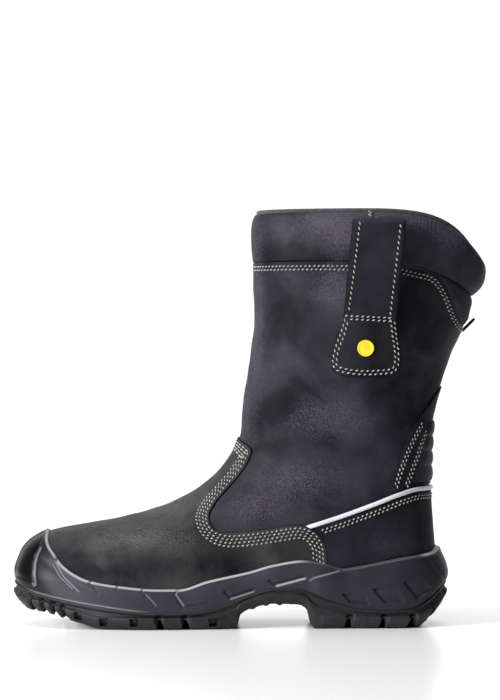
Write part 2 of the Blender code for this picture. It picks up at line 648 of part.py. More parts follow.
BADGE_AT = Point(79.2, 193.0)
BADGE_DIAMETER = 11.4
BADGE_THICKNESS = 1.0
BADGE_GAP = 0.9
BADGE_SIDES = 24


def make_badge(finish, home):
    """A plain round disc, square to the tab of the outer pull loop."""
    lift = TAB_LIFT + LOOP_THICKNESS / 2 + BADGE_GAP + BADGE_THICKNESS / 2
    middle = flank(BADGE_AT.x, BADGE_AT.z, OUTER, lift)
    reach = np.array((-1, 1)) * BADGE_DIAMETER / 2
    back, front = flank(BADGE_AT.x + reach, BADGE_AT.z, OUTER, lift)
    low, high = flank(BADGE_AT.x, BADGE_AT.z + reach, OUTER, lift)
    bpy.ops.mesh.primitive_cylinder_add(
        vertices=BADGE_SIDES,
        radius=BADGE_DIAMETER / 2 * MM,
        depth=BADGE_THICKNESS * MM,
        location=(middle * GRADE * MM).tolist(),
        rotation=Vector(np.cross(front - back, high - low).tolist()).to_track_quat("Z", "Y").to_euler(),
    )
    adopt(bpy.context.object, "badge", finish, home)


TAB_BASE = Point(149.0, 205.4)
TAB_LENGTH, TAB_WIDTH, TAB_THICKNESS, TAB_ROUND = 12.0, 11.0, 2.0, 0.6
TAB_SEGMENTS = 2
TAB_RISE = math.radians(45)


def make_back_tab(finish, home):
    """The short leather tab at the end of the back seam, standing out and up."""
    middle = np.array((TAB_BASE.x, 0, TAB_BASE.z))
    middle = middle + np.array((math.cos(TAB_RISE), 0, math.sin(TAB_RISE))) * TAB_LENGTH / 2
    bpy.ops.mesh.primitive_cube_add(
        size=1, location=(middle * GRADE * MM).tolist(), rotation=(0, -TAB_RISE, 0)
    )
    tab = bpy.context.object
    tab.scale = (TAB_LENGTH * MM, TAB_WIDTH * MM, TAB_THICKNESS * MM)
    bpy.ops.object.transform_apply(location=False, rotation=False, scale=True)
    edges = tab.modifiers.new("edges", "BEVEL")
    edges.width = TAB_ROUND * MM
    edges.segments = TAB_SEGMENTS
    adopt(tab, "back_tab", finish, home)


def centre_on_floor(pieces, root):
    """Moves the whole boot so that its box is centred over the origin."""
    graph = bpy.context.evaluated_depsgraph_get()
    corners = []
    for piece in pieces:
        made = piece.evaluated_get(graph)
        mesh = made.to_mesh()
        flat = np.empty(len(mesh.vertices) * 3)
        mesh.vertices.foreach_get("co", flat)
        matrix = np.array(made.matrix_world)
        world = flat.reshape(-1, 3) @ matrix[:3, :3].T + matrix[:3, 3]
        corners += [world.min(axis=0), world.max(axis=0)]
        made.to_mesh_clear()
    middle = (np.min(corners, axis=0) + np.max(corners, axis=0)) / 2
    root.location = (-middle[0], -middle[1], -np.min(corners, axis=0)[2])


# Finishes: linear colour and roughness of each piece
Finish = namedtuple("Finish", "colour roughness")
FINISHES = {
    "outsole": Finish((0.016, 0.016, 0.018), 0.62),
    "midsole": Finish((0.026, 0.025, 0.030), 0.42),
    "insole": Finish((0.060, 0.060, 0.064), 0.95),
    "upper": Finish((0.020, 0.020, 0.024), 0.55),
    "collar": Finish((0.024, 0.023, 0.028), 0.50),
    "back_bellows": Finish((0.020, 0.020, 0.023), 0.55),
    "achilles_pad": Finish((0.020, 0.020, 0.022), 0.60),
    "reflective_piping": Finish((0.780, 0.790, 0.810), 0.35),
    "pull_loop_outer": Finish((0.018, 0.018, 0.020), 0.55),
    "pull_loop_inner": Finish((0.018, 0.018, 0.020), 0.55),
    "badge": Finish((0.900, 0.540, 0.000), 0.40),
    "back_tab": Finish((0.014, 0.014, 0.015), 0.60),
}


def main():
    for old in list(bpy.data.objects):
        bpy.data.objects.remove(old)
    boot = bpy.data.collections.new("safety_boot")
    cutters = bpy.data.collections.new("cutters")
    for collection in (boot, cutters):
        bpy.context.scene.collection.children.link(collection)
    finish = {name: material(name, *values) for name, values in FINISHES.items()}
    make_outsole(finish["outsole"], boot, cutters)
    make_midsole(finish["midsole"], boot)
    make_insole(finish["insole"], boot)
    make_upper(finish["upper"], boot)
    make_collar(finish["collar"], boot)
    make_back_bellows(finish["back_bellows"], boot)
    make_achilles_pad(finish["achilles_pad"], boot)
    make_reflective_piping(finish["reflective_piping"], boot)
    make_pull_loop("pull_loop_outer", OUTER, finish["pull_loop_outer"], boot)
    make_pull_loop("pull_loop_inner", INNER, finish["pull_loop_inner"], boot)
    make_badge(finish["badge"], boot)
    make_back_tab(finish["back_tab"], boot)
    root = bpy.data.objects.new("boot_frame", None)
    boot.objects.link(root)
    pieces = [piece for piece in boot.objects if piece is not root]
    centre_on_floor(pieces, root)
    for piece in pieces + list(cutters.objects):
        piece.parent = root


main()
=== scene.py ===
"""Looks of a pull-on safety boot, laid out as an add-on: leather, padding, seams and sole around the CAD
part.

The tables are in millimetres, in the boot's own frame: the toe points to -X, the outer side of the foot
faces -Y, and z is the height over the floor. A place on the leather is a row (from the feather line up to
the rim) and a turn (0 at the front, half a turn at the back, the outer side first).
"""

import functools
import math
from collections import namedtuple

import bmesh
import bpy
import numpy as np
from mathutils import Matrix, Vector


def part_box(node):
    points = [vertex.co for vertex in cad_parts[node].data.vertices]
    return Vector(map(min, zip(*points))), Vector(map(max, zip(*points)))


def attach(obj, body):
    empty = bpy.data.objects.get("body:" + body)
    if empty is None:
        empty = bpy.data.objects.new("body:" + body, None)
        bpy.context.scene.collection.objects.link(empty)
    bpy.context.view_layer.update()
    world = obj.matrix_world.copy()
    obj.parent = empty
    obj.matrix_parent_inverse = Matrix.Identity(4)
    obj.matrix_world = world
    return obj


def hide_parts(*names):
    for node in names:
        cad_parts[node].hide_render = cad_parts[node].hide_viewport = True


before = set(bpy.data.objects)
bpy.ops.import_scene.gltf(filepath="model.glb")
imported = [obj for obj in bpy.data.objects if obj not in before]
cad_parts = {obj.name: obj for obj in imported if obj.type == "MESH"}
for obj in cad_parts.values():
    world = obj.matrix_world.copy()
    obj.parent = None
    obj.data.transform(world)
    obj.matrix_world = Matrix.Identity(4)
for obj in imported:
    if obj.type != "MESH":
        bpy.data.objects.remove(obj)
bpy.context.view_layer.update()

bl_info = {
    "name": "Safety boot looks",
    "version": (1, 0, 0),
    "blender": (4, 5, 0),
    "location": "View3D > Sidebar > Safety boot",
    "description": "Leather, padding, seams, sole and studio for a pull-on safety boot",
    "category": "Object",
}

MM = 0.001
FULL_TURN = 2 * math.pi
OUTER, INNER = -1, 1

# Sections of the last with its leather, as the CAD part has them: ends in the side view, half widths at
# ball, waist and heel, how soon the two ends round off, the toe's and the waist's swing, the drop of the
# back, and the share of the feather line's waviness
Section = namedtuple(
    "Section",
    "front_x front_z back_x back_z ball waist heel toe_round heel_round swing waist_swing drop sag",
)
LAST = [Section(*row) for row in (
    (-156.5, 32, 124, 30, 46.5, 34, 33.5, 0.33, 0.13, 9, -5, 1, 1),
    (-158.6, 40, 126.6, 37, 49.3, 36.5, 36.5, 0.33, 0.14, 9, -5, 1, 0.85),
    (-157.3, 48.5, 128.2, 44.5, 50, 37.8, 38, 0.33, 0.15, 9, -4.6, 1, 0.6),
    (-151.5, 56.8, 128.5, 52, 48.3, 38.4, 38.8, 0.33, 0.15, 8.6, -4.2, 1, 0.35),
    (-139, 64.4, 128, 60, 45.4, 38.6, 39.2, 0.33, 0.16, 8, -3.6, 1, 0.12),
    (-116, 68.4, 127.2, 70, 41.6, 38.4, 39, 0.34, 0.17, 7, -2.8, 1, 0),
    (-88, 73.8, 126.2, 81, 38.6, 37.8, 38.4, 0.37, 0.2, 5.2, -2, 1, 0),
    (-57, 82.8, 125.6, 93, 36.8, 37.2, 37.6, 0.41, 0.25, 3.2, -1.2, 1, 0),
    (-33.5, 95.5, 125.3, 106, 36.6, 37, 37, 0.45, 0.3, 1.6, -0.6, 1, 0),
    (-15.8, 113, 125.6, 121, 37.2, 37.6, 36.6, 0.48, 0.36, 0.6, 0, 1, 0),
    (-6.8, 134, 126.8, 140, 38.4, 39.4, 37.4, 0.5, 0.42, 0, 0, 1, 0),
    (-4.4, 159, 131.5, 162, 40.6, 42.2, 40, 0.5, 0.48, 0, 0, 1.2, 0),
    (0, 187, 140.3, 188, 43.2, 45.6, 43.4, 0.5, 0.5, 0, 0, 1.8, 0),
    (2.8, 214, 149, 207.5, 45.6, 48.4, 46.2, 0.5, 0.5, 0, 0, 3.6, 0),
    (2.1, 252.3, 154.5, 229, 47.2, 50.4, 48.4, 0.5, 0.5, 0, 0, 5.6, 0),
    (2, 271, 159, 243, 47.4, 50.8, 49, 0.5, 0.5, 0, 0, 7, 0),
    (3.5, 289, 160.5, 256.5, 46.6, 50.2, 48.4, 0.5, 0.5, 0, 0, 8, 0),
)]
INSTEP_ROW, VAMP_ROW, ANKLE_ROW, SHIN_ROW, SEAM_ROW, RIM_ROW = 3.0, 6.0, 9.0, 12.0, 14.0, 16.0
SQUARE_TOE, SQUARE_SHAFT, SQUARE_FADE_ROWS = 2.4, 2.15, 10.0
BALL_AT, WAIST_AT, HEEL_AT = 0.30, 0.58, 0.85
HALVINGS, LIFT_PASSES, NORMAL_STEP, FINE_TURNS, TINY = 34, 4, 0.02, 4000, 1e-9
SOLE_EDGE = Section(-164.5, 0, 136.5, 0, 54.6, 40.5, 41, 0.34, 0.15, 9, -5.5, 1, 0)
SOLE_TREAD = Section(-161, 0, 133.5, 0, 51.6, 37, 38, 0.34, 0.15, 9, -5.5, 1, 0)
# From the tables' frame to the part's frame: the sole's middle there less its middle here
SOLE_MIDDLE = sum(corner.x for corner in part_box("outsole")) / 2 / MM
SHIFT = np.array((SOLE_MIDDLE - (SOLE_EDGE.front_x + SOLE_EDGE.back_x) / 2, 0, 0))

# Lines of the side view, as rows of x and z
FEATHER = (
    (-156.5, 32), (-140, 27), (-110, 21), (-80, 18.2), (-52, 17.2), (-25, 19.2), (0, 24), (30, 28.6),
    (60, 30), (124, 30),
)
SIDEWALL_TOP = (
    (-141, 84), (-139.4, 58), (-133.9, 49.4), (-127.7, 42.4), (-119.8, 37.2), (-110.5, 33.4), (-91.4, 30.3),
    (-61.9, 28), (-48.8, 28), (-29.2, 33.5), (0, 39.8), (15.8, 44.3), (36, 47.3), (50.2, 45.5),
    (64.4, 41.6), (74.9, 43.1), (104.5, 49), (123.2, 51.8), (132.3, 58.5),
)
JOINT_EDGE = (
    (-164.5, 30.5), (-153.1, 24.6), (-138.9, 21.3), (-105.5, 15.8), (-61.8, 11.4), (-40, 11.7),
    (-23.9, 14.5), (4.1, 25), (19.2, 28.2), (33.6, 27.6), (52.5, 20.1), (74.8, 13.8), (92.7, 12.2),
    (110.6, 13.4), (123, 19.8), (136.5, 31.8),
)
JOINT_CORE = (
    (-164.5, 28.5), (-153.1, 23), (-138.9, 19.5), (-105.5, 14.6), (-61.8, 10.6), (-40, 10.8), (-23.9, 12.6),
    (4.1, 19), (19.2, 21.6), (33.6, 21.6), (52.5, 18), (74.8, 13), (92.7, 11.6), (110.6, 12.4), (123, 17.6),
    (136.5, 28),
)
TREAD = (
    (-163.5, 21), (-156.4, 15.2), (-146.4, 12), (-131, 7.6), (-116.5, 3.8), (-98, 0), (-30, 0), (-9, 1.8),
    (-6.4, 10.2), (4.1, 15.1), (15.8, 17.2), (33, 16.6), (38.6, 13.6), (41.2, 4.6), (45, 0), (114, 0),
    (121, 4.2), (127, 9.2), (136.5, 20.6),
)
SHAFT_TOP = (
    (104, 262), (108, 248.6), (120, 246.2), (128.7, 243.4), (132.2, 239.1), (136.4, 232.6), (139.6, 225.6),
    (142.4, 217.5), (147.2, 210.4), (149.5, 208.8),
)
PIPING_LINE = ((36, 68.4), (60, 76), (85, 85), (104, 92.2), (116, 95.3), (127, 95.8))
VAMP_EDGE = (
    (-7.8, 129.7), (0.8, 122.9), (-0.5, 117), (-5.7, 107.7), (-13.1, 98.5), (-21.6, 89.3), (-26.5, 81.7),
    (-27.8, 76), (-26.1, 70.9), (-21.5, 67.4), (-14.9, 66.2), (-4.4, 66.7), (11.3, 68.6), (24.5, 70.6),
    (32.3, 71.6), (37.6, 70.9), (43.5, 68.3), (48.1, 64.3), (52, 56.4), (53.4, 43),
)
STAY_EDGE = ((98.5, 97), (104.2, 121.8), (111.3, 136.2), (121.3, 150.6), (129.2, 162), (132.7, 166.5))
STAY_STITCH_FRONT = (
    (100.3, 96.6), (104.1, 108.5), (106.3, 113.9), (109.8, 122.2), (114.1, 130.9), (119.6, 140.6),
)
STAY_STITCH_BACK = (
    (107.6, 97), (110.6, 104.7), (113.3, 111.7), (116.3, 119.1), (119, 126.6), (122.6, 135.2),
)
PAD_FRONT = ((108.6, 99.6), (113.6, 113), (119, 130), (124, 146.5))


def smooth(xs, ys, at):
    """A cubic through the points (xs, ys) whose slope at a point is the harmonic mean of those beside
    it."""
    xs, ys = np.asarray(xs, float), np.asarray(ys, float)
    step = np.diff(xs)
    slope = np.diff(ys) / step
    before, after = slope[:-1], slope[1:]
    same_way = before * after > 0
    inner = np.where(same_way, 2 * before * after / np.where(same_way, before + after, 1.0), 0.0)
    tangent = np.concatenate((slope[:1], inner, slope[-1:]))
    at = np.clip(at, xs[0], xs[-1])
    i = np.clip(np.searchsorted(xs, at, side="right") - 1, 0, len(xs) - 2)
    h = step[i]
    t = (at - xs[i]) / h
    return (
        ys[i] * (1 + 2 * t) * (1 - t) ** 2
        + tangent[i] * h * t * (1 - t) ** 2
        + ys[i + 1] * t * t * (3 - 2 * t)
        + tangent[i + 1] * h * t * t * (t - 1)
    )


def line(points, x):
    """The height of a side-view line at x."""
    return smooth(*zip(*points), x)


def blended(table, at):
    """The columns of a table at row numbers with fractions, each by a smooth curve."""
    return [smooth(np.arange(len(table)), column, at) for column in zip(*table)]


def reach_at(points, z):
    """The x of a side-view line at the height z."""
    xs, zs = zip(*points)
    return smooth(zs, xs, z)


def ease(t):
    """0 below 0, 1 above 1, and 3t^2 - 2t^3 between."""
    t = np.clip(t, 0.0, 1.0)
    return t * t * (3 - 2 * t)


def ramp(value, start, length):
    """An eased step from 0 at start to 1 a length further on. With a length below 0 it rises the other
    way."""
    return ease((value - start) / length)


def bell(distance, width):
    """exp(-(distance / width)^2): 1 in the middle, falling off on both sides."""
    return np.exp(-((distance / width) ** 2))


def run_length(points):
    """The distance run along the first axis of an array of points, from 0 at its start."""
    return np.cumsum(np.linalg.norm(np.diff(points, axis=0, prepend=points[:1]), axis=-1), axis=0)


def full_turn(count):
    """Angles of a full turn at even steps, without its end."""
    return np.linspace(0, FULL_TURN, count, endpoint=False)


def share_of(turn):
    """The share of a section's length at a turn: (1 - cos turn) / 2."""
    return (1 - np.cos(turn)) / 2


def side_of(turn):
    """The sign of Y at a turn: the outer side comes first."""
    return np.where(np.sin(turn) >= 0, OUTER, INNER)


def outline(section, s, side, square):
    """x and y round a section: half widths eased from ball to waist to heel, times two superellipse
    ends."""
    to_waist, to_heel = ramp(s, BALL_AT, WAIST_AT - BALL_AT), ramp(s, WAIST_AT, HEEL_AT - WAIST_AT)
    half = section.ball + (section.waist - section.ball) * to_waist
    half = half + (section.heel - section.waist) * to_heel
    front = np.clip(1 - s / section.toe_round, 0, 1)
    back = np.clip(1 - (1 - s) / section.heel_round, 0, 1)
    ends = ((1 - front**square) * (1 - back**square)) ** (1 / square)
    at_waist = to_waist * (1 - to_heel)
    centre = section.swing * (1 - ease(s / BALL_AT)) + section.waist_swing * at_waist
    return section.front_x + (section.back_x - section.front_x) * s, centre + side * half * ends


def last_point(row, turn):
    """The last's surface: the outline of the section blended at the row, at the height of its bent
    chord."""
    row, turn = np.broadcast_arrays(row, turn)
    section = Section(*blended(LAST, row))
    s = share_of(turn)
    square = SQUARE_TOE + (SQUARE_SHAFT - SQUARE_TOE) * ease(row / SQUARE_FADE_ROWS)
    x, y = outline(section, s, side_of(turn), square)
    chord = LAST[0].front_z + (LAST[0].back_z - LAST[0].front_z) * s
    z = section.front_z + (section.back_z - section.front_z) * s**section.drop
    return np.stack((x, y, z + section.sag * (line(FEATHER, x) - chord)), axis=-1)


def slopes(row, turn):
    """How the last's surface moves by one row and by one radian of turn, by central differences."""
    d = NORMAL_STEP
    high, low = np.minimum(row + d, RIM_ROW), np.maximum(row - d, 0)
    by_row = (last_point(high, turn) - last_point(low, turn)) / (high - low)[..., None]
    by_turn = (last_point(row, turn + d) - last_point(row, turn - d)) / (2 * d)
    return by_row, by_turn


def unit(vectors):
    """Vectors divided by their length."""
    return vectors / np.maximum(np.linalg.norm(vectors, axis=-1, keepdims=True), TINY)


def row_height(row, turn):
    """The millimetres that one row takes up there."""
    return np.linalg.norm(slopes(row, turn)[0], axis=-1)


def last_normal(row, turn):
    """The outward normal: the slope round the boot crossed with the slope up it."""
    row, turn = np.broadcast_arrays(row, turn)
    by_row, by_turn = slopes(row, turn)
    return unit(np.cross(by_turn, by_row))


def last(row, turn, lift=0.0):
    """The last's surface moved out along its normal by lift."""
    return last_point(row, turn) + last_normal(row, turn) * np.asarray(lift, float)[..., None]


def row_at(turn, points, low, high):
    """The row where the last crosses a side-view line at each turn, by halving."""
    low = np.full(np.shape(turn), float(low))
    high = np.full(np.shape(turn), float(high))
    for _ in range(HALVINGS):
        middle = (low + high) / 2
        p = last_point(middle, turn)
        above = p[..., 2] > line(points, p[..., 0])
        high = np.where(above, middle, high)
        low = np.where(above, low, middle)
    return (low + high) / 2


def flank(x, z, lift=0.0):
    """Row and turn on the outer side of the point at x and z in the side view that stands off by lift."""
    x, z, lift = np.broadcast_arrays(x, z, lift)
    ends = [(section.front_x, section.back_x) for section in LAST]
    foot_x, foot_z = x, z
    for _ in range(LIFT_PASSES):
        low, high = np.zeros(x.shape), np.full(x.shape, RIM_ROW)
        for _ in range(HALVINGS):
            row = (low + high) / 2
            front, back = blended(ends, row)
            s = (foot_x - front) / (back - front)
            turn = np.arccos(np.clip(1 - 2 * s, -1, 1))
            above = last_point(row, turn)[..., 2] > foot_z
            high = np.where(above, row, high)
            low = np.where(above, low, row)
        place = last(row, turn, lift)
        foot_x = foot_x + x - place[..., 0]
        foot_z = foot_z + z - place[..., 2]
    return row, turn


def shaft_top_row(turn):
    """The row where the shaft ends: the collar seam, or lower where the bellows fills the back."""
    return np.minimum(row_at(turn, SHAFT_TOP, ANKLE_ROW, SEAM_ROW), SEAM_ROW)


def beside(row, turn, distance, steps=4):
    """A path on the last moved sideways along the surface: each step solves the 2 x 2 system of the slopes
    for the row and turn that shift it along normal x direction."""
    for _ in range(steps):
        p = last_point(row, turn)
        by_row, by_turn = slopes(row, turn)
        sideways = unit(np.cross(unit(np.cross(by_turn, by_row)), np.gradient(p, axis=0)))
        move = sideways * distance / steps
        a, b, c = ((u * v).sum(-1) for u, v in ((by_row, by_row), (by_row, by_turn), (by_turn, by_turn)))
        e, f = (by_row * move).sum(-1), (by_turn * move).sum(-1)
        scale = a * c - b * b
        row, turn = row + (c * e - b * f) / scale, turn + (a * f - b * e) / scale
    return row, turn


def near_line(x, z, points):
    """The distance in the side view from x and z to a chain of straight pieces, and the share along it."""
    points = np.asarray(points, float)
    best, along = np.full(np.shape(x), np.inf), np.zeros(np.shape(x))
    for n, (start, end) in enumerate(zip(points[:-1], points[1:])):
        run = end - start
        t = np.clip(((x - start[0]) * run[0] + (z - start[1]) * run[1]) / (run @ run), 0, 1)
        distance = np.hypot(x - start[0] - t * run[0], z - start[1] - t * run[1])
        closer = distance < best
        best = np.where(closer, distance, best)
        along = np.where(closer, (n + t) / (len(points) - 1), along)
    return best, along


# Soft creases of the leather: the side (0 is both), half width, height (below 0 is a trough), and a chain
# of x and z
Crease = namedtuple("Crease", "side width height points")
CREASES = [Crease(*row) for row in (
    (0, 11, -0.9, ((-6, 139), (22, 133), (52, 130), (74, 133))),
    (OUTER, 13, 1, ((28, 157), (60, 150), (96, 152))),
    (OUTER, 12, 0.9, ((-10, 76), (20, 92), (58, 110))),
    (OUTER, 9, -0.8, ((0, 122), (24, 117), (52, 122))),
    (OUTER, 16, -0.7, ((30, 180), (76, 184), (122, 192))),
    (OUTER, 15, 0.5, ((30, 240), (36, 205), (34, 176))),
    (OUTER, 14, -0.4, ((52, 238), (46, 205), (52, 172))),
    (OUTER, 15, -0.9, ((100, 150), (112, 180), (124, 214))),
    (INNER, 13, 1.1, ((10, 156), (46, 149), (88, 154))),
    (INNER, 11, -0.9, ((0, 116), (34, 112), (66, 120))),
    (INNER, 16, -0.8, ((26, 190), (74, 182), (120, 186))),
    (INNER, 15, 0.7, ((38, 236), (34, 205), (40, 172))),
    (0, 7, -0.4, ((-78, 80), (-70, 66), (-54, 50))),
    (0, 7, -0.35, ((-62, 84), (-52, 70), (-38, 54))),
    (0, 6, -0.25, ((-94, 76), (-88, 64), (-76, 46))),
    (OUTER, 10, 0.4, ((-110, 60), (-86, 58), (-66, 52))),
)]
CREASE_FADE = 0.25


def creases(row, turn):
    """The sum of the creases: height times (1 - (d/w)^2) exp(-(d/w)^2) for a distance d, a dip with soft
    shoulders, faded at both ends."""
    p = last_point(row, turn)
    x, z = p[..., 0], p[..., 2]
    side = side_of(np.broadcast_to(turn, x.shape))
    share = bpy.context.scene.boot_sizes.crease
    total = np.zeros(x.shape)
    for crease in CREASES:
        distance, along = near_line(x, z, crease.points)
        ratio = (distance / crease.width) ** 2
        fade = ease(along / CREASE_FADE) * ease((1 - along) / CREASE_FADE)
        reach = 1.0 if crease.side == 0 else side == crease.side
        total += share * crease.height * (1 - ratio) * np.exp(-ratio) * fade * reach
    return total


# The shaft's unevenness: height, lean with the width, first row, and rows to fade in and out
RIPPLE_HEIGHT, RIPPLE_LEAN, RIPPLE_ROW, RIPPLE_FADE, RIPPLE_SEAM_FADE = 0.2, 0.4, 4.0, 3.0, 0.6


def ripples(row, turn):
    """Slight unevenness of the shaft: a product of two sines of the place in the side view and a third
    sine, with waves of 25 to 60 mm."""
    p = last_point(row, turn)
    x, z = p[..., 0] + RIPPLE_LEAN * p[..., 1], p[..., 2]
    waves = np.sin(x / 4.3 + z / 7.1) * np.sin(z / 5.2 - x / 9.7) + np.sin(x / 9.1 - z / 6.3 + 1.0)
    fade = ramp(row, RIPPLE_ROW, RIPPLE_FADE) * ramp(row, SEAM_ROW, -RIPPLE_SEAM_FADE)
    return bpy.context.scene.boot_sizes.crease * RIPPLE_HEIGHT * waves * fade


def leather(row, turn, lift=0.0):
    """The creased leather: the last moved out by lift, the creases and the ripples."""
    return last(row, turn, lift + creases(row, turn) + ripples(row, turn))


def inside(x, z, corners):
    """How far inside a side-view outline each point lies: the distance to its edges, 0 outside (even-odd
    rule)."""
    within = np.zeros(np.shape(x), bool)
    for (x0, z0), (x1, z1) in zip(corners, corners[1:] + corners[:1]):
        crosses = (z0 > z) != (z1 > z)
        rise = z1 - z0 if z1 != z0 else 1.0
        within ^= crosses & (x < (x1 - x0) * (z - z0) / rise + x0)
    return np.where(within, near_line(x, z, corners + corners[:1])[0], 0.0)


def even_turns(count):
    """Turns all round the boot at even steps along the sole's edge, the same on both sides."""
    fine = np.linspace(0, math.pi, FINE_TURNS)
    length = run_length(np.stack(outline(SOLE_EDGE, share_of(fine), OUTER, SQUARE_TOE), axis=-1))
    half = np.interp(np.linspace(0, length[-1], count // 2 + 1), length, fine)
    return np.concatenate((half, FULL_TURN - half[-2:0:-1]))


def quads(rows, columns, closed=False, joined=False):
    """Faces of a grid of points. closed joins each row's end to its start, and joined the last row to the
    first."""
    index = np.arange(rows * columns).reshape(rows, columns)
    if closed:
        index = np.concatenate((index, index[:, :1]), axis=1)
    if joined:
        index = np.concatenate((index, index[:1]), axis=0)
    corners = (index[:-1, :-1], index[:-1, 1:], index[1:, 1:], index[1:, :-1])
    return np.stack(corners, axis=-1).reshape(-1, 4).tolist()


def ring_shell(outer, inner):
    """A closed wall from two stacks of rings: up the outer one and down the inner one, joined at both
    ends."""
    grid = np.concatenate((outer, inner[::-1]))
    return grid, quads(*grid.shape[:2], closed=True, joined=True)


def panel_shell(outer, inner):
    """A closed panel from two grids: each row runs along the outer one and back along the inner one, and
    strips of faces close the first row and the last."""
    grid = np.concatenate((outer, inner[:, ::-1]), axis=1)
    rows, count = grid.shape[:2]
    faces = quads(rows, count, closed=True)
    for start in (0, (rows - 1) * count):
        end = start + count - 1
        faces += [(start + c, start + c + 1, end - c - 1, end - c) for c in range(count // 2 - 1)]
    return grid, faces


def grid_normals(grid, closed):
    """Normals of a grid: its slope along the rows crossed with its slope along the columns."""
    if closed:
        around = np.roll(grid, -1, axis=1) - np.roll(grid, 1, axis=1)
    else:
        around = np.gradient(grid, axis=1)
    return unit(np.cross(around, np.gradient(grid, axis=0)))


def capped(rings, sides):
    """Faces of a tube of rings, with a flat face at both ends."""
    top = (rings - 1) * sides
    return quads(rings, sides, closed=True) + [tuple(range(sides)), tuple(range(top, top + sides))]


def put(name, points, faces, finish, slot, nodes=(), merge=0.0, sharp=50):
    """Makes a piece: its points in metres in the part's frame, faces turned outwards, finish and body. The
    slot is not used."""
    mesh = bpy.data.meshes.new(name)
    mesh.from_pydata(((points.reshape(-1, 3) + SHIFT) * MM).tolist(), [], faces)
    work = bmesh.new()
    work.from_mesh(mesh)
    if merge:
        bmesh.ops.remove_doubles(work, verts=work.verts, dist=merge * MM)
    bmesh.ops.recalc_face_normals(work, faces=work.faces)
    work.to_mesh(mesh)
    work.free()
    mesh.shade_smooth()
    mesh.set_sharp_from_angle(angle=math.radians(sharp))
    mesh.materials.append(finish)
    piece = bpy.data.objects.new(name, mesh)
    bpy.context.scene.collection.objects.link(piece)
    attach(piece, "root")
    if nodes:
        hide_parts(*nodes)
    return piece


def mark(piece, name, values):
    """Writes a number for each vertex as an attribute that the piece's finish reads."""
    piece.data.attributes.new(name, "FLOAT", "POINT").data.foreach_set("value", np.ravel(values))


def hex_colour(code):
    """Linear colour of an sRGB hex code: c / 12.92 when small, else ((c + 0.055) / 1.055) ^ 2.4."""
    channels = np.array([int(code[i : i + 2], 16) for i in (1, 3, 5)]) / 255
    linear = np.where(channels <= 0.04045, channels / 12.92, ((channels + 0.055) / 1.055) ** 2.4)
    return (*linear.tolist(), 1.0)


def add(tree, kind, inputs=(), **settings):
    """Adds a shader node. settings are its own values, and inputs pair a socket with a value, another
    node's output, or another node, whose first output in use it takes."""
    made = tree.nodes.new("ShaderNode" + kind)
    for key, value in settings.items():
        setattr(made, key, value)
    for socket, value in dict(inputs).items():
        if isinstance(value, bpy.types.Node):
            value = next(output for output in value.outputs if output.enabled)
        if isinstance(value, bpy.types.NodeSocket):
            tree.links.new(value, made.inputs[socket])
        else:
            made.inputs[socket].default_value = value
    return made


def per_metre(size_mm):
    """The scale of a pattern whose feature is this many millimetres across, on coordinates in metres."""
    return 1000.0 / size_mm


def material(look):
    """Turns a function that builds a shader on the object's own coordinates into one that makes its
    material, once for each name."""

    @functools.wraps(look)
    def make(name, *colours, **settings):
        made = bpy.data.materials.get(name)
        if made is None:
            made = bpy.data.materials.new(name)
            made.use_nodes = True
            tree = made.node_tree
            tree.nodes.clear()
            place = add(tree, "TexCoord").outputs["Object"]
            shader = look(tree, place, *colours, **settings)
            add(tree, "OutputMaterial", {"Surface": shader})
        return made

    return make


# Edge ink, and the black of the toe's panels, which also paints shade on the midsole's toe and heel
EDGE_INK, MOULD_BLACK_AND_SHADE = "#030303", "#060607"


@material
def oiled_leather(tree, place, deep, bloom, roughness, gloss_level, pore_mm):
    """Oiled full-grain cowhide: near black where the oil lies, with a paler bloom in soft patches and a low
    satin sheen broken up by pores. The mesh's attributes say where it is lifted to pale flecks, mostly as
    painted sheen and highlight with a little real wear, where it is darkened as painted shade, and where it
    is inked black along cut edges. The pores of 0.3 mm are drawn coarser, to show."""
    patches = add(tree, "TexNoise", {
        "Vector": place, "Scale": per_metre(34), "Detail": 4.0, "Roughness": 0.55, "Distortion": 0.4})
    pores = add(tree, "TexNoise", {
        "Vector": place, "Scale": per_metre(pore_mm), "Detail": 2.0, "Roughness": 0.6})
    veil = add(tree, "MapRange", {
        "Value": patches, "From Min": 0.35, "From Max": 0.68, "To Min": 0.12, "To Max": 0.55})
    speckle = add(tree, "MapRange", {
        "Value": pores, "From Min": 0.46, "From Max": 0.70, "To Min": 0.2, "To Max": 1.9})
    # Painted shade from a mesh attribute: it thins the bloom where the leather should lie in shade
    painted_shade = add(tree, "Attribute", attribute_name="painted_shade").outputs["Fac"]
    thinned = add(tree, "Math", {0: veil, 1: painted_shade}, operation="SUBTRACT")
    # Painted sheen and highlight, with a little real wear, from a mesh attribute: it lifts the bloom in
    # flecks
    sheen_and_wear = add(tree, "Attribute", attribute_name="sheen_and_wear").outputs["Fac"]
    lifted = add(tree, "Math", {0: sheen_and_wear, 1: speckle, 2: thinned}, operation="MULTIPLY_ADD")
    hide = add(tree, "Mix", {0: lifted, 6: deep, 7: bloom}, data_type="RGBA")
    inked = add(tree, "Attribute", attribute_name="ink").outputs["Fac"]
    colour = add(tree, "Mix", {0: inked, 6: hide, 7: hex_colour(EDGE_INK)}, data_type="RGBA")
    gloss = add(tree, "MapRange", {
        "Value": patches, "From Min": 0.3, "From Max": 0.7,
        "To Min": roughness + 0.08, "To Max": roughness - 0.07})
    grain = add(tree, "Bump", {"Strength": 0.4, "Distance": 0.2 * MM, "Height": pores})
    return add(tree, "BsdfPrincipled", {
        "Base Color": colour, "Roughness": gloss, "IOR": 1.48,
        "Specular IOR Level": gloss_level, "Normal": grain})


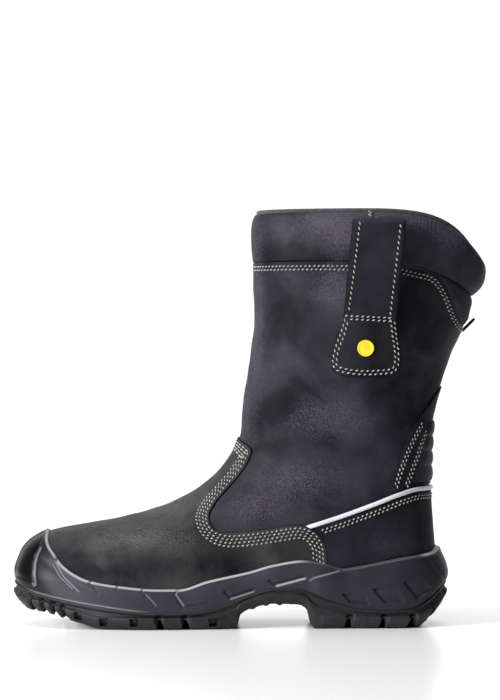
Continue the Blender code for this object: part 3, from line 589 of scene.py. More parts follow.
@material
def moulded_polyurethane(tree, place, deep, worn, pale):
    """Injection-moulded polyurethane: an even satin skin with a fine stipple from the mould, a little paler
    where it was handled. The mesh's attributes say where it is painted pale, mostly as a highlight along
    the rim and the moulded edges, and where it is black, in the toe's panels and as painted shade towards
    the toe's front and over the heel. The 0.2 mm stipple is drawn coarser, to show."""
    stipple = add(tree, "TexNoise", {
        "Vector": place, "Scale": per_metre(1.0), "Detail": 2.0, "Roughness": 0.6})
    clouds = add(tree, "TexNoise", {
        "Vector": place, "Scale": per_metre(26), "Detail": 3.0, "Roughness": 0.5})
    skin_colour = add(tree, "Mix", {0: clouds, 6: deep, 7: worn}, data_type="RGBA")
    # Black: the toe's panels, and painted shade towards the toe's front and over the heel
    black = add(tree, "Attribute", attribute_name="black").outputs["Fac"]
    dark = add(tree, "Mix", {0: black, 6: skin_colour, 7: hex_colour(MOULD_BLACK_AND_SHADE)}, data_type="RGBA")
    scuffed_and_highlighted = add(tree, "Attribute", attribute_name="scuffed_and_highlighted").outputs["Fac"]
    colour = add(tree, "Mix", {0: scuffed_and_highlighted, 6: dark, 7: pale}, data_type="RGBA")
    satin = add(tree, "MapRange", {
        "Value": clouds, "From Min": 0.3, "From Max": 0.7, "To Min": 0.50, "To Max": 0.62})
    gloss = add(tree, "Mix", {0: black, 2: satin, 3: 0.3}, data_type="FLOAT")
    skin = add(tree, "Bump", {"Strength": 0.35, "Distance": 0.12 * MM, "Height": stipple})
    return add(tree, "BsdfPrincipled", {
        "Base Color": colour, "Roughness": gloss, "IOR": 1.5,
        "Specular IOR Level": 0.14, "Normal": skin})


@material
def vulcanised_rubber(tree, place, deep, dusty):
    """Pressed nitrile rubber: dull and dark with a faint dusty bloom, and a rough skin that scatters the
    light. The 0.3 mm roughness is drawn coarser to show."""
    rough = add(tree, "TexNoise", {
        "Vector": place, "Scale": per_metre(1.1), "Detail": 4.0, "Roughness": 0.7})
    clouds = add(tree, "TexNoise", {
        "Vector": place, "Scale": per_metre(14), "Detail": 4.0, "Roughness": 0.6})
    dust = add(tree, "MapRange", {
        "Value": clouds, "From Min": 0.4, "From Max": 0.75, "To Min": 0.0, "To Max": 0.6})
    colour = add(tree, "Mix", {0: dust, 6: deep, 7: dusty}, data_type="RGBA")
    skin = add(tree, "Bump", {"Strength": 1.0, "Distance": 0.35 * MM, "Height": rough})
    return add(tree, "BsdfPrincipled", {
        "Base Color": colour, "Roughness": 0.55, "IOR": 1.52, "Specular IOR Level": 0.3,
        "Normal": skin})


@material
def needled_felt(tree, place, dark, light):
    """Needled polyester felt: matt grey fibres that lie every way, flecked light and dark, with a soft
    sheen at the rim. The 0.05 mm fibres are drawn as flecks of 0.8 mm."""
    flecks = add(tree, "TexNoise", {
        "Vector": place, "Scale": per_metre(0.8), "Detail": 4.0, "Roughness": 0.75, "Distortion": 1.2})
    contrast = add(tree, "MapRange", {"Value": flecks, "From Min": 0.35, "From Max": 0.68})
    colour = add(tree, "Mix", {0: contrast, 6: dark, 7: light}, data_type="RGBA")
    fuzz = add(tree, "Bump", {"Strength": 0.8, "Distance": 0.4 * MM, "Height": flecks})
    return add(tree, "BsdfPrincipled", {
        "Base Color": colour, "Roughness": 0.95, "Normal": fuzz,
        "Sheen Weight": 0.3, "Sheen Roughness": 0.6})


@material
def spun_thread(tree, place, pale, shade):
    """Bonded polyester sewing thread: pale, with darker valleys between its twisted strands."""
    strands = add(tree, "TexNoise", {
        "Vector": place, "Scale": per_metre(0.7), "Detail": 2.0, "Roughness": 0.6})
    contrast = add(tree, "MapRange", {"Value": strands, "From Min": 0.35, "From Max": 0.6})
    colour = add(tree, "Mix", {0: contrast, 6: shade, 7: pale}, data_type="RGBA")
    twist = add(tree, "Bump", {"Strength": 0.4, "Distance": 0.1 * MM, "Height": strands})
    return add(tree, "BsdfPrincipled", {"Base Color": colour, "Roughness": 0.6, "Normal": twist})


@material
def reflective_tape(tree, place, silver, grey):
    """Glass-bead reflective tape round a cord: a bright, even silver white, a little greyer in the
    weave."""
    beads = add(tree, "TexVoronoi", {"Vector": place, "Scale": per_metre(0.6)})
    contrast = add(tree, "MapRange", {
        "Value": beads, "From Min": 0.0, "From Max": 0.8, "To Min": 0.0, "To Max": 0.5})
    colour = add(tree, "Mix", {0: contrast, 6: silver, 7: grey}, data_type="RGBA")
    weave = add(tree, "Bump", {"Strength": 0.2, "Distance": 0.08 * MM, "Height": beads})
    return add(tree, "BsdfPrincipled", {
        "Base Color": colour, "Roughness": 0.35, "IOR": 1.5, "Normal": weave})


@material
def printed_enamel(tree, place, yellow, ochre):
    """A stoved enamel disc: a clear yellow with a hard gloss, a shade deeper in faint clouds."""
    clouds = add(tree, "TexNoise", {"Vector": place, "Scale": per_metre(4), "Detail": 2.0})
    contrast = add(tree, "MapRange", {
        "Value": clouds, "From Min": 0.4, "From Max": 0.8, "To Min": 0.0, "To Max": 0.4})
    colour = add(tree, "Mix", {0: contrast, 6: yellow, 7: ochre}, data_type="RGBA")
    return add(tree, "BsdfPrincipled", {
        "Base Color": colour, "Roughness": 0.28, "IOR": 1.5, "Coat Weight": 0.3})


@material
def studio_paper(tree, place, white):
    """Smooth coated paper: an even near white with a slight gloss, and a tooth that barely breaks it."""
    tooth = add(tree, "TexNoise", {"Vector": place, "Scale": per_metre(3), "Detail": 2.0})
    bump = add(tree, "Bump", {"Strength": 0.02, "Distance": 0.05 * MM, "Height": tooth})
    return add(tree, "BsdfPrincipled", {"Base Color": white, "Roughness": 0.2, "Normal": bump})


def shaft_leather(colours):
    """The finish of the shaft, its back pieces and its loops."""
    return oiled_leather(
        "oiled_full_grain_leather", colours.leather, colours.leather_bloom,
        roughness=0.55, gloss_level=0.07, pore_mm=0.9)


def collar_leather(colours):
    """The softer finish of the collar and the ribbed pad."""
    return oiled_leather(
        "soft_collar_leather", colours.leather, colours.leather_bloom,
        roughness=0.52, gloss_level=0.08, pore_mm=1.1)


def lining_felt(colours):
    """The finish of the lining, the insole and the collar's edge."""
    return needled_felt("needled_felt", colours.felt, colours.felt_light)


# Spots of painted light on the leather: pale ones, mostly painted sheen and highlight with a little real
# wear, and dark ones of painted shade: x and z in the side view, half sizes along both, and strength
Spot = namedtuple("Spot", "x z wide tall strength")
# Pale spots: mostly painted sheen and highlight where the light falls, with a little real wear on the
# counter
SHEEN_AND_WEAR_SPOTS = [Spot(*row) for row in (
    (58, 236, 16, 16, 0.8), (53, 145, 28, 13, 0.8), (36, 102, 26, 11, 0.9), (4, 83, 20, 10, 0.9),
    (4, 225, 5, 60, 0.9), (-3, 152, 4, 22, 0.9), (64, 270, 12, 9, 0.9), (30, 274, 26, 10, 0.2),
    (55, 282, 15, 7, 1.5), (104, 281, 22, 7, 1.5), (141, 273, 11, 9, 1.8), (96, 56, 18, 8, 0.4),
    (-82, 64, 26, 8, 1), (-50, 86, 20, 8, 0.5), (-44, 60, 14, 12, 0.3),
)]
# Dark spots of painted shade: in hollows, beside the strap, under the collar and low on the vamp
PAINTED_SHADE_SPOTS = [Spot(*row) for row in (
    (19, 152, 23, 17, 0.42), (12, 121, 16, 11, 0.36), (112, 215, 24, 50, 0.32), (112, 140, 24, 36, 0.15),
    (34, 254, 40, 7, 0.3), (50, 200, 36, 22, 0.12), (27, 222, 14, 26, 0.23), (28, 261, 18, 8, 0.34),
    (-60, 42, 50, 10, 0.2), (-20, 52, 30, 20, 0.18), (-128, 44, 14, 9, 0.2),
)]


def mark_sheen_wear_and_shade(piece):
    """Writes the attribute of painted sheen and wear and that of painted shade: the sum of strength
    exp(-(dx/wide)^2 - (dz/tall)^2) over the spots of each kind."""
    place = np.empty(len(piece.data.vertices) * 3)
    piece.data.vertices.foreach_get("co", place)
    x, _, z = (place.reshape(-1, 3) / MM - SHIFT).T
    for name, spots in (("sheen_and_wear", SHEEN_AND_WEAR_SPOTS), ("painted_shade", PAINTED_SHADE_SPOTS)):
        bells = (s.strength * bell(x - s.x, s.wide) * bell(z - s.z, s.tall) for s in spots)
        mark(piece, name, sum(bells))
    return piece


def length(name, description, size_mm):
    """A length setting with its default from a size in millimetres."""
    return bpy.props.FloatProperty(name=name, description=description, default=size_mm * MM, unit="LENGTH")


def colour(name, description, code):
    """A colour setting with its default from an sRGB hex code."""
    return bpy.props.FloatVectorProperty(
        name=name, description=description, size=4, subtype="COLOR", default=hex_colour(code))


class BootSizes(bpy.types.PropertyGroup):
    """Sizes of the soft pieces."""

    leather: length("Leather", "Thickness of the shaft's leather", 1.4)
    wall: length("Wall", "Thickness of leather and lining together", 2.6)
    panel: length("Panel", "Thickness of the leather panels sewn on", 1.3)
    thread: length("Thread", "Diameter of the sewing thread", 1.0)
    pitch: length("Stitch pitch", "Distance between two stitches", 3.2)
    loop_pitch: length("Loop pitch", "Distance between two stitches on the pull loops", 3.7)
    crease: bpy.props.FloatProperty(
        name="Creases", description="Share of the drawn depth of creases", default=1.0, subtype="FACTOR")


class BootColours(bpy.types.PropertyGroup):
    """Colours of the finishes."""

    leather: colour("Leather", "Oiled leather, deep", "#0d0c12")
    # The blooms also colour the painted sheen and highlights at the leather's pale spots
    leather_bloom: colour("Leather bloom", "Oiled leather, rubbed", "#3d3a44")
    vamp: colour("Vamp", "Vamp leather, deep", "#0e0e11")
    vamp_bloom: colour("Vamp bloom", "Vamp leather, rubbed", "#484748")
    midsole: colour("Midsole", "Polyurethane, deep", "#1f1e24")
    midsole_worn: colour("Midsole worn", "Polyurethane, handled", "#35333d")
    # The pale colour also paints the highlight along the rim and the moulded edges
    midsole_pale: colour("Midsole rim", "Polyurethane, scuffed pale", "#8f8e92")
    rubber: colour("Rubber", "Outsole rubber", "#0c0c0e")
    rubber_dust: colour("Rubber dust", "Outsole rubber, dusty", "#29272f")
    felt: colour("Felt", "Lining felt, dark flecks", "#0c0c0e")
    felt_light: colour("Felt flecks", "Lining felt, light flecks", "#303034")
    thread: colour("Thread", "Sewing thread", "#a8a69e")
    thread_shade: colour("Thread shade", "Sewing thread between strands", "#53524e")
    piping: colour("Piping", "Reflective piping", "#c8c8ce")
    piping_grey: colour("Piping weave", "Reflective piping, in the weave", "#9c9ca2")
    badge: colour("Badge", "Plain yellow disc", "#e0bb00")
    badge_deep: colour("Badge deep", "Plain yellow disc, deeper", "#bd9600")


# Grooves of the tread, near those of the CAD part: place, width, reach and slant in degrees
Groove = namedtuple("Groove", "x width reach slant")
EDGE_GROOVES = [Groove(*row) for row in (
    (-117.5, 4.2, 22, -16), (-100, 4.2, 24, -18), (-79, 4.2, 26, -12), (-60.8, 4.2, 27, -6),
    (-43.9, 4.2, 27, 4), (-25.3, 4.2, 25, 12), (66.7, 4.2, 22, 10), (91, 4.2, 22, -8),
)]
Fan = namedtuple("Fan", "hub x width reach")
TOE_HUB, HEEL_HUB = (-102.5, 3.0), (88.5, 0.0)
FAN_GROOVES = [Fan(*row) for row in (
    (TOE_HUB, -161.2, 3, 12), (TOE_HUB, -152.2, 3, 12), (TOE_HUB, -143.6, 3, 12), (TOE_HUB, -135.4, 3, 11),
    (TOE_HUB, -127.8, 3, 8), (HEEL_HUB, 135, 4.2, 16), (HEEL_HUB, 127.4, 4.2, 17),
    (HEEL_HUB, 112.2, 4.6, 19),
)]
CENTRE_GROOVES = [Groove(*row) for row in (
    (-126, 5, 30, 0), (-108, 5, 40, 14), (-89, 5, 46, -14), (-70, 5, 46, 14), (-51, 5, 42, -14),
    (-32, 5, 36, 14), (62, 5, 30, 12), (80, 5, 30, -12), (98, 5, 30, 12),
)]
TREAD_DEPTH, FAN_DEPTH, LUG_EDGE, FAN_EDGE, LUG_ROUND = 7.0, 8.0, 1.5, 3.0, 2.0
# How far a groove runs out past the sole's edge
GROOVE_OVERRUN = 6.0
# Edge grooves that end in a square window in the side, and the rubber left outside them
WINDOWS, WINDOW_BRIDGE = (-117.5, -100.0, -79.0, -25.3), 9.0
WINDOW_HALF, WINDOW_LOW, WINDOW_HIGH, WINDOW_DEPTH, WINDOW_EDGE = 2.6, 2.6, 7.6, 3.4, 0.6


def tread_depth(x, y):
    """The depth of the tread at x and y: the deepest of all grooves, each a straight slot with rounded ends
    whose sides slope over LUG_EDGE, or over FAN_EDGE round the toe and the heel. Beside a groove the lug
    turns down by a quarter circle."""
    depth = np.zeros(np.shape(x))
    slots = []
    for side in (OUTER, INNER):
        for groove in EDGE_GROOVES + FAN_GROOVES:
            s = (groove.x - SOLE_EDGE.front_x) / (SOLE_EDGE.back_x - SOLE_EDGE.front_x)
            edge = np.array(outline(SOLE_EDGE, np.array(s), side, SQUARE_TOE))
            if isinstance(groove, Fan):
                run = math.atan2(edge[1] - groove.hub[1], edge[0] - groove.hub[0])
                deep, soft, corner = FAN_DEPTH, FAN_EDGE, 0.0
            else:
                run = side * math.radians(90 + groove.slant)
                deep, soft, corner = TREAD_DEPTH, LUG_EDGE, LUG_ROUND
            way = np.array((math.cos(run), math.sin(run)))
            inner_end = edge - way * (groove.reach - groove.width / 2)
            outer_end = edge + way * (-WINDOW_BRIDGE if groove.x in WINDOWS else GROOVE_OVERRUN)
            slots.append((outer_end, inner_end, groove.width, deep, soft, corner))
    for groove in CENTRE_GROOVES:
        run = math.radians(90 + groove.slant)
        way = np.array((math.cos(run), math.sin(run))) * (groove.reach - groove.width) / 2
        middle = np.array((groove.x, 0))
        slots.append((middle - way, middle + way, groove.width, TREAD_DEPTH, LUG_EDGE, LUG_ROUND))
    for start, stop, width, deep, soft, corner in slots:
        distance, _ = near_line(x, y, (start, stop))
        depth = np.maximum(depth, deep * (1 - ease((distance - width / 2) / soft + 0.5)))
        to_flat = np.clip(corner + width / 2 - distance, 0, corner)
        depth = np.maximum(depth, corner - np.sqrt(corner**2 - to_flat**2))
    return depth


def ladder(count, start=0):
    """Faces across a closed ring of an even number of points, from its first point to the one opposite."""
    half, end_of = count // 2, start + count
    faces = [(start, start + 1, end_of - 1)]
    faces += [(start + c, start + c + 1, end_of - c - 1, end_of - c) for c in range(1, half - 1)]
    faces.append((start + half - 1, start + half, start + half + 1))
    return faces


def sole_ring(section, turn, heights, rise=0.0):
    """A ring round the sole along one of its outlines, at the height of a side-view line."""
    x, y = outline(section, share_of(turn), side_of(turn), SQUARE_TOE)
    return np.stack((x, y, line(heights, x) + rise), axis=-1)


def inset_ring(ring, distance):
    """A ring of the sole drawn in at right angles to itself by a distance."""
    ahead = np.roll(ring, -1, axis=0) - np.roll(ring, 1, axis=0)
    inward = np.stack((-ahead[:, 1], ahead[:, 0], np.zeros(len(ring))), axis=-1)
    return ring + unit(inward) * distance


def spine_ring(ring, section, front, back):
    """The point of a section's middle line beside each point of a ring, clear of the section's two ends."""
    x = np.clip(ring[:, 0], section.front_x + front, section.back_x - back)
    s = (x - section.front_x) / (section.back_x - section.front_x)
    return np.stack((x, outline(section, s, 0, SQUARE_TOE)[1], 0 * s), axis=-1)


SOLE_COLUMNS, WALL_RINGS, TREAD_RINGS = 1100, 28, 38
# How far the tread's middle line keeps from its front and its back
SOLE_SPINE = (34.0, 30.0)
# The side: the most of its height that a groove takes, where it rounds in, and the joint's reach
GROOVE_MOST, SIDE_ROUND_FROM, JOINT_INSET = 0.85, 0.5, 8.0
# The lip below the joint and the groove below it: height, share down the side, half width
LIP_HEIGHT, LIP_AT, LIP_HALF = 0.7, 0.07, 0.06
LIP_GROOVE, LIP_GROOVE_AT, LIP_GROOVE_HALF = 0.9, 0.24, 0.07
LUG_HEIGHT, LUG_PROUD, LUG_STEP, LUG_FOOT = 8.2, 1.3, 0.9, 2.5
FINGER_HEIGHT, FINGER_ROUND, FINGER_DROP, FINGER_STEP, FINGER_REACH = 9.0, 2.6, 2.4, 2.0, 12.0
TOE_HOLLOW, TOE_HOLLOW_EDGE = 4.5, (1.5, 8.0)
ARCH_RIB, ARCH_RIB_PITCH = 1.1, 9.0
# Where features fade along the boot: the start and the length of the ramp
FINGERS_END, LUGS_END, HEEL_LUGS_START, TOE_HOLLOW_END = (-154, 16), (-22, 8), (46, 6), (-134, 12)
ARCH_RIBS_START, ARCH_RIBS_END = (-3, 3), (30, -10)


class BootOutsole(bpy.types.Operator):
    """Makes the rubber outsole with its lugs"""

    bl_idname = "boot.outsole"
    bl_label = "Outsole"

    def execute(self, context):
        """Rings run down the side from the joint, turn in over the rounded edge, and close on the middle
        line. A groove ends the side early, draws it in beside it and lifts the tread by its depth. Windows
        are square dips in the side, and the tread is hollow behind the toe's lugs."""
        colours = context.scene.boot_colours
        turn = even_turns(SOLE_COLUMNS)
        top = sole_ring(SOLE_EDGE, turn, JOINT_EDGE)
        floor = sole_ring(SOLE_TREAD, turn, TREAD)
        cut = tread_depth(floor[:, 0], floor[:, 1])
        hang = FINGER_DROP * (1 - ramp(floor[:, 0], *FINGERS_END)) * (1 - cut / FAN_DEPTH)
        hang += self.arch_ribs(floor[:, 0])
        floor[:, 2] -= hang
        height = top[:, 2] - floor[:, 2]
        share = np.linspace(0, 1, WALL_RINGS)[:, None] * (1 - np.minimum(cut / height, GROOVE_MOST))
        round_in = ramp(share, SIDE_ROUND_FROM, 1 - SIDE_ROUND_FROM)[..., None]
        side = top + (floor - top) * round_in
        side[..., 2] = top[:, 2] - share * height
        outward = top - inset_ring(top, 1.0)
        side += outward * self.side_relief(side[..., 0], top[:, 0], share, height, cut)[..., None]
        spine = spine_ring(floor, SOLE_TREAD, *SOLE_SPINE)
        inward = np.linspace(0, 1, TREAD_RINGS + 1)[1:, None, None]
        tread = side[-1] + (spine - side[-1]) * inward
        tread[..., 2] = line(TREAD, tread[..., 0]) + tread_depth(tread[..., 0], tread[..., 1])
        from_edge = inward[..., 0] * np.linalg.norm(spine - side[-1], axis=-1)
        behind_fingers = ramp(from_edge, *TOE_HOLLOW_EDGE) * (1 - ramp(tread[..., 0], *TOE_HOLLOW_END))
        tread[..., 2] += TOE_HOLLOW * behind_fingers - hang * (1 - ease(from_edge / FINGER_REACH))
        dish = inset_ring(top, JOINT_INSET)
        dish[:, 2] = line(JOINT_CORE, dish[:, 0])
        grid = np.concatenate((dish[None], side, tread))
        faces = quads(*grid.shape[:2], closed=True) + ladder(len(turn))
        finish = vulcanised_rubber("pressed_nitrile_rubber", colours.rubber, colours.rubber_dust)
        put("outsole_rubber", grid, faces, finish, "outsole_rubber", ["outsole"], merge=0.02)
        return {"FINISHED"}

    def side_relief(self, x, top_x, share, height, cut):
        """How far the side stands out: a lip and a groove below the joint, as bells of the share down the
        side, and the lugs, less the rounding beside each groove and the windows."""
        over_floor = (1 - share) * height
        lip = LIP_HEIGHT * bell(share - LIP_AT, LIP_HALF)
        lip -= LIP_GROOVE * bell(share - LIP_GROOVE_AT, LIP_GROOVE_HALF)
        lugs = 1 - ramp(over_floor, LUG_HEIGHT, LUG_STEP)
        lugs = lugs * (1 - ramp(top_x, *LUGS_END) + ramp(top_x, *HEEL_LUGS_START))
        proud = lip + LUG_PROUD * lugs * ease(over_floor / LUG_FOOT)
        proud -= FINGER_ROUND * cut / FAN_DEPTH * (1 - ramp(over_floor, FINGER_HEIGHT, FINGER_STEP))
        above, below = (over_floor - WINDOW_LOW) / WINDOW_EDGE, (WINDOW_HIGH - over_floor) / WINDOW_EDGE
        tall = ease(above + 0.5) * ease(below + 0.5)
        for at in WINDOWS:
            proud -= WINDOW_DEPTH * tall * ease((WINDOW_HALF - np.abs(x - at)) / WINDOW_EDGE + 0.5)
        return proud

    def arch_ribs(self, x):
        """Ribs across the front of the arch: the positive half of a sine along the boot, faded at both
        ends."""
        zone = ramp(x, *ARCH_RIBS_START) * ramp(x, *ARCH_RIBS_END)
        return ARCH_RIB * zone * np.clip(np.sin(FULL_TURN * x / ARCH_RIB_PITCH), 0, 1)


# Lines moulded into the midsole's side: half width, height (below 0 is a groove), points
Mould = namedtuple("Mould", "width height points")
TOE_SLOT = ((-145.7, 54.9), (-148.2, 48.8), (-149.3, 43.3), (-149.5, 35.7), (-148.9, 28.8))
MOULDED_LINES = [Mould(*row) for row in (
    (1.3, -1.2, TOE_SLOT),
    (0.6, 0.25, ((-134.4, 46.1), (-127.9, 35.4), (-117.4, 25.7))),
    (0.6, 0.25, ((-135.9, 44), (-130.8, 35.3), (-121.8, 27.6))),
    (0.6, -0.5, ((-109.9, 33.4), (-104.1, 24.5))),
    (0.6, -0.4, ((-71.9, 24.3), (-65.2, 17.2))),
    (0.7, -0.7, ((-49.2, 28.6), (-51.5, 24.2), (-45.9, 15.4), (-28.4, 18.1))),
    (0.9, -1.4, ((-16.9, 25.6), (-13.5, 22), (2.1, 27))),
    (0.9, -1.4, ((13.2, 33.4), (17.5, 30.7), (37.4, 36.1))),
    (0.7, -0.6, ((122.9, 48.7), (134.8, 32))),
)]
# Lines painted pale, mostly as highlights along moulded edges: half width, strength, points
HIGHLIGHT_AND_SCUFF_LINES = [Mould(*row) for row in (
    (0.6, 0.42, TOE_SLOT),
    (0.5, 0.5, ((-13, 20.9), (2.3, 25.7))),
    (0.6, 1, ((18.2, 29.6), (37.6, 34.8))),
    (0.4, 0.45, ((-134.4, 46.1), (-127.9, 35.4), (-117.4, 25.7))),
    (0.4, 0.35, ((-135.9, 44), (-130.8, 35.3), (-121.8, 27.6))),
    (0.4, 0.35, ((-71, 24.3), (-64.3, 17.2))),
    (0.4, 0.5, ((-48.6, 28.4), (-50.6, 24.4), (-45.2, 16.4))),
    (0.5, 0.45, ((41, 33.4), (44, 35.4), (60.6, 39.6))),
)]
# Pockets in the heel plate: upper left, lower left, lower right and upper right corner
HEEL_POCKETS = (
    ((62.6, 24.6), (68.6, 17.7), (82.4, 16.3), (79.6, 23.6)),
    ((83.6, 28), (92.2, 17.6), (106.1, 17.4), (101.8, 28)),
    ((104.6, 32.4), (115.1, 19.6), (125, 25.9), (118, 35.6)),
)
POCKET_DEPTH, POCKET_FADE, POCKET_EDGE = 1.9, 5.0, 0.9
TOE_PANEL = (
    (-145.4, 66), (-152, 62.8), (-159.6, 54.4), (-163.8, 44.8), (-165.4, 33.5), (-149, 28.6),
    (-150.6, 37.6), (-149.6, 45.8), (-146.4, 55), (-141.8, 62.4),
)
TOE_PANEL_DEPTH, TOE_STRIP, TOE_STRIP_EDGE = 0.5, 8.0, 2.0
# Painted shade: how dark the toe cap is painted towards its front beside the panels, how dark the heel is
# painted, and their ramps
TOE_PAINTED_SHADE, TOE_PAINTED_SHADE_END, HEEL_PAINTED_SHADE, HEEL_PAINTED_SHADE_START = 0.75, (-148, 24), 0.35, (36, 30)
# The rim: its sloped ledge, the bead below it, and the notches across it
LEDGE_WIDTH, LEDGE_DROP, BEAD_HEIGHT, BEAD_HALF = 1.5, 1.3, 0.3, 1.0
RIM_NOTCHES, NOTCH_DEPTH, NOTCH_HALF = (-133.8, -110.2, -91.2, -73.8, -49.2), 1.1, 0.7
# The pale rim, a painted highlight along its ledge: what it loses past the ball and wins back at the heel,
# its spill and soft edge, and the pale line over the joint
RIM_LOSS, RIM_LOSS_START, RIM_GAIN, RIM_GAIN_START = 0.85, (30, 14), 0.8, (116, 6)
RIM_HIGHLIGHT_SPILL, RIM_HIGHLIGHT_EDGE = 0.2, 0.5
JOINT_SCUFF, JOINT_SCUFF_RISE, JOINT_SCUFF_HALF = 0.4, 0.9, 0.5
JOINT_SCUFF_START, JOINT_SCUFF_END = (-158, 12), (-84, 20)
# The heel plate's upper edge, above which the wall steps back
HEEL_PLATE = (
    (40, 33), (42.8, 35.2), (60.6, 39.8), (80.3, 43.6), (100.1, 48.2), (122.2, 52.1), (140, 56.7),
)
PLATE_HEIGHT, PLATE_EDGE, PLATE_START = 1.0, 1.2, (40, 8)
# The wall: gap to the leather, thickness low down and at the rim, and the share where it thins
CUP_GAP, CAP_THICKNESS, SIDEWALL_EDGE, THIN_FROM = 0.6, 4.2, 3.2, 0.7
# Shares of the wall's height over which it flares out, and where the flare is straight
FLARE_SHARE, FLARE_SHARE_HEEL, STRAIGHT_START = 0.62, 0.98, (0.08, 0.12)
# Height over which the relief grows, share of the height at the cup's first inner row, and the gaps over
# the outsole's edge, over its middle and under the leather
RELIEF_FOOT, CUP_TOP, JOINT_GAP, CORE_GAP, CUP_FLOOR = 2.0, 0.92, 0.15, 0.3, 0.3
MIDSOLE_COLUMNS, MIDSOLE_ROWS, CUP_ROWS, RIM_CROWDING = 1000, 70, 6, 1.4


def moulded_relief(x, z, below_rim):
    """The height of the midsole's relief: each moulded line adds height exp(-(d/w)^2) at a distance d, the
    heel plate stands proud with pockets in it, and the rim is a sloped ledge with a bead below it, notched
    here and there."""
    relief = np.zeros(x.shape)
    for mould in MOULDED_LINES:
        distance, _ = near_line(x, z, mould.points)
        relief += mould.height * bell(distance, mould.width)
    relief += PLATE_HEIGHT * ease((line(HEEL_PLATE, x) - z) / PLATE_EDGE) * ramp(x, *PLATE_START)
    for pocket in HEEL_POCKETS:
        from_edge, _ = near_line(x, z, pocket[:3])
        deep = POCKET_DEPTH * ease(inside(x, z, pocket) / POCKET_EDGE)
        relief -= deep * np.exp(-from_edge / POCKET_FADE)
    bead = bell(below_rim - LEDGE_WIDTH, BEAD_HALF) * (BEAD_HEIGHT - NOTCH_DEPTH * notches(x))
    return relief + bead - LEDGE_DROP * np.clip(1 - below_rim / LEDGE_WIDTH, 0, 1)


def beside_toe_strip(place):
    """0 on the strip along the middle of the toe and 1 beside it."""
    return ramp(np.abs(place[..., 1] - SOLE_EDGE.swing), TOE_STRIP, TOE_STRIP_EDGE)


def toe_panels(place):
    """1 in the two panels at the front of the toe cap, which leave the strip between them, and 0
    elsewhere."""
    return beside_toe_strip(place) * ease(inside(place[..., 0], place[..., 2], TOE_PANEL))


def notches(x):
    """1 in the middle of each notch of the rim, falling off as a bell beside it."""
    return sum(bell(x - at, NOTCH_HALF) for at in RIM_NOTCHES)


def scuffs_and_highlights(x, z, below_rim):
    """Where the midsole is painted pale, mostly as a highlight: along the rim's slope, less towards the
    heel, along the front of the joint with the outsole, and as a bell beside each listed line."""
    along = 1 - RIM_LOSS * ramp(x, *RIM_LOSS_START) + RIM_GAIN * ramp(x, *RIM_GAIN_START)
    # Painted highlight along the rim's ledge, less past the ball and again bright at the heel's back
    pale = along * ramp(below_rim, LEDGE_WIDTH + RIM_HIGHLIGHT_SPILL, -RIM_HIGHLIGHT_EDGE) * (1 - notches(x))
    joint = JOINT_SCUFF * ramp(x, *JOINT_SCUFF_START) * (1 - ramp(x, *JOINT_SCUFF_END))
    pale = np.maximum(pale, joint * bell(z - line(JOINT_EDGE, x) - JOINT_SCUFF_RISE, JOINT_SCUFF_HALF))
    for pale_line in HIGHLIGHT_AND_SCUFF_LINES:
        distance, _ = near_line(x, z, pale_line.points)
        pale = np.maximum(pale, pale_line.height * bell(distance, pale_line.width))
    return pale


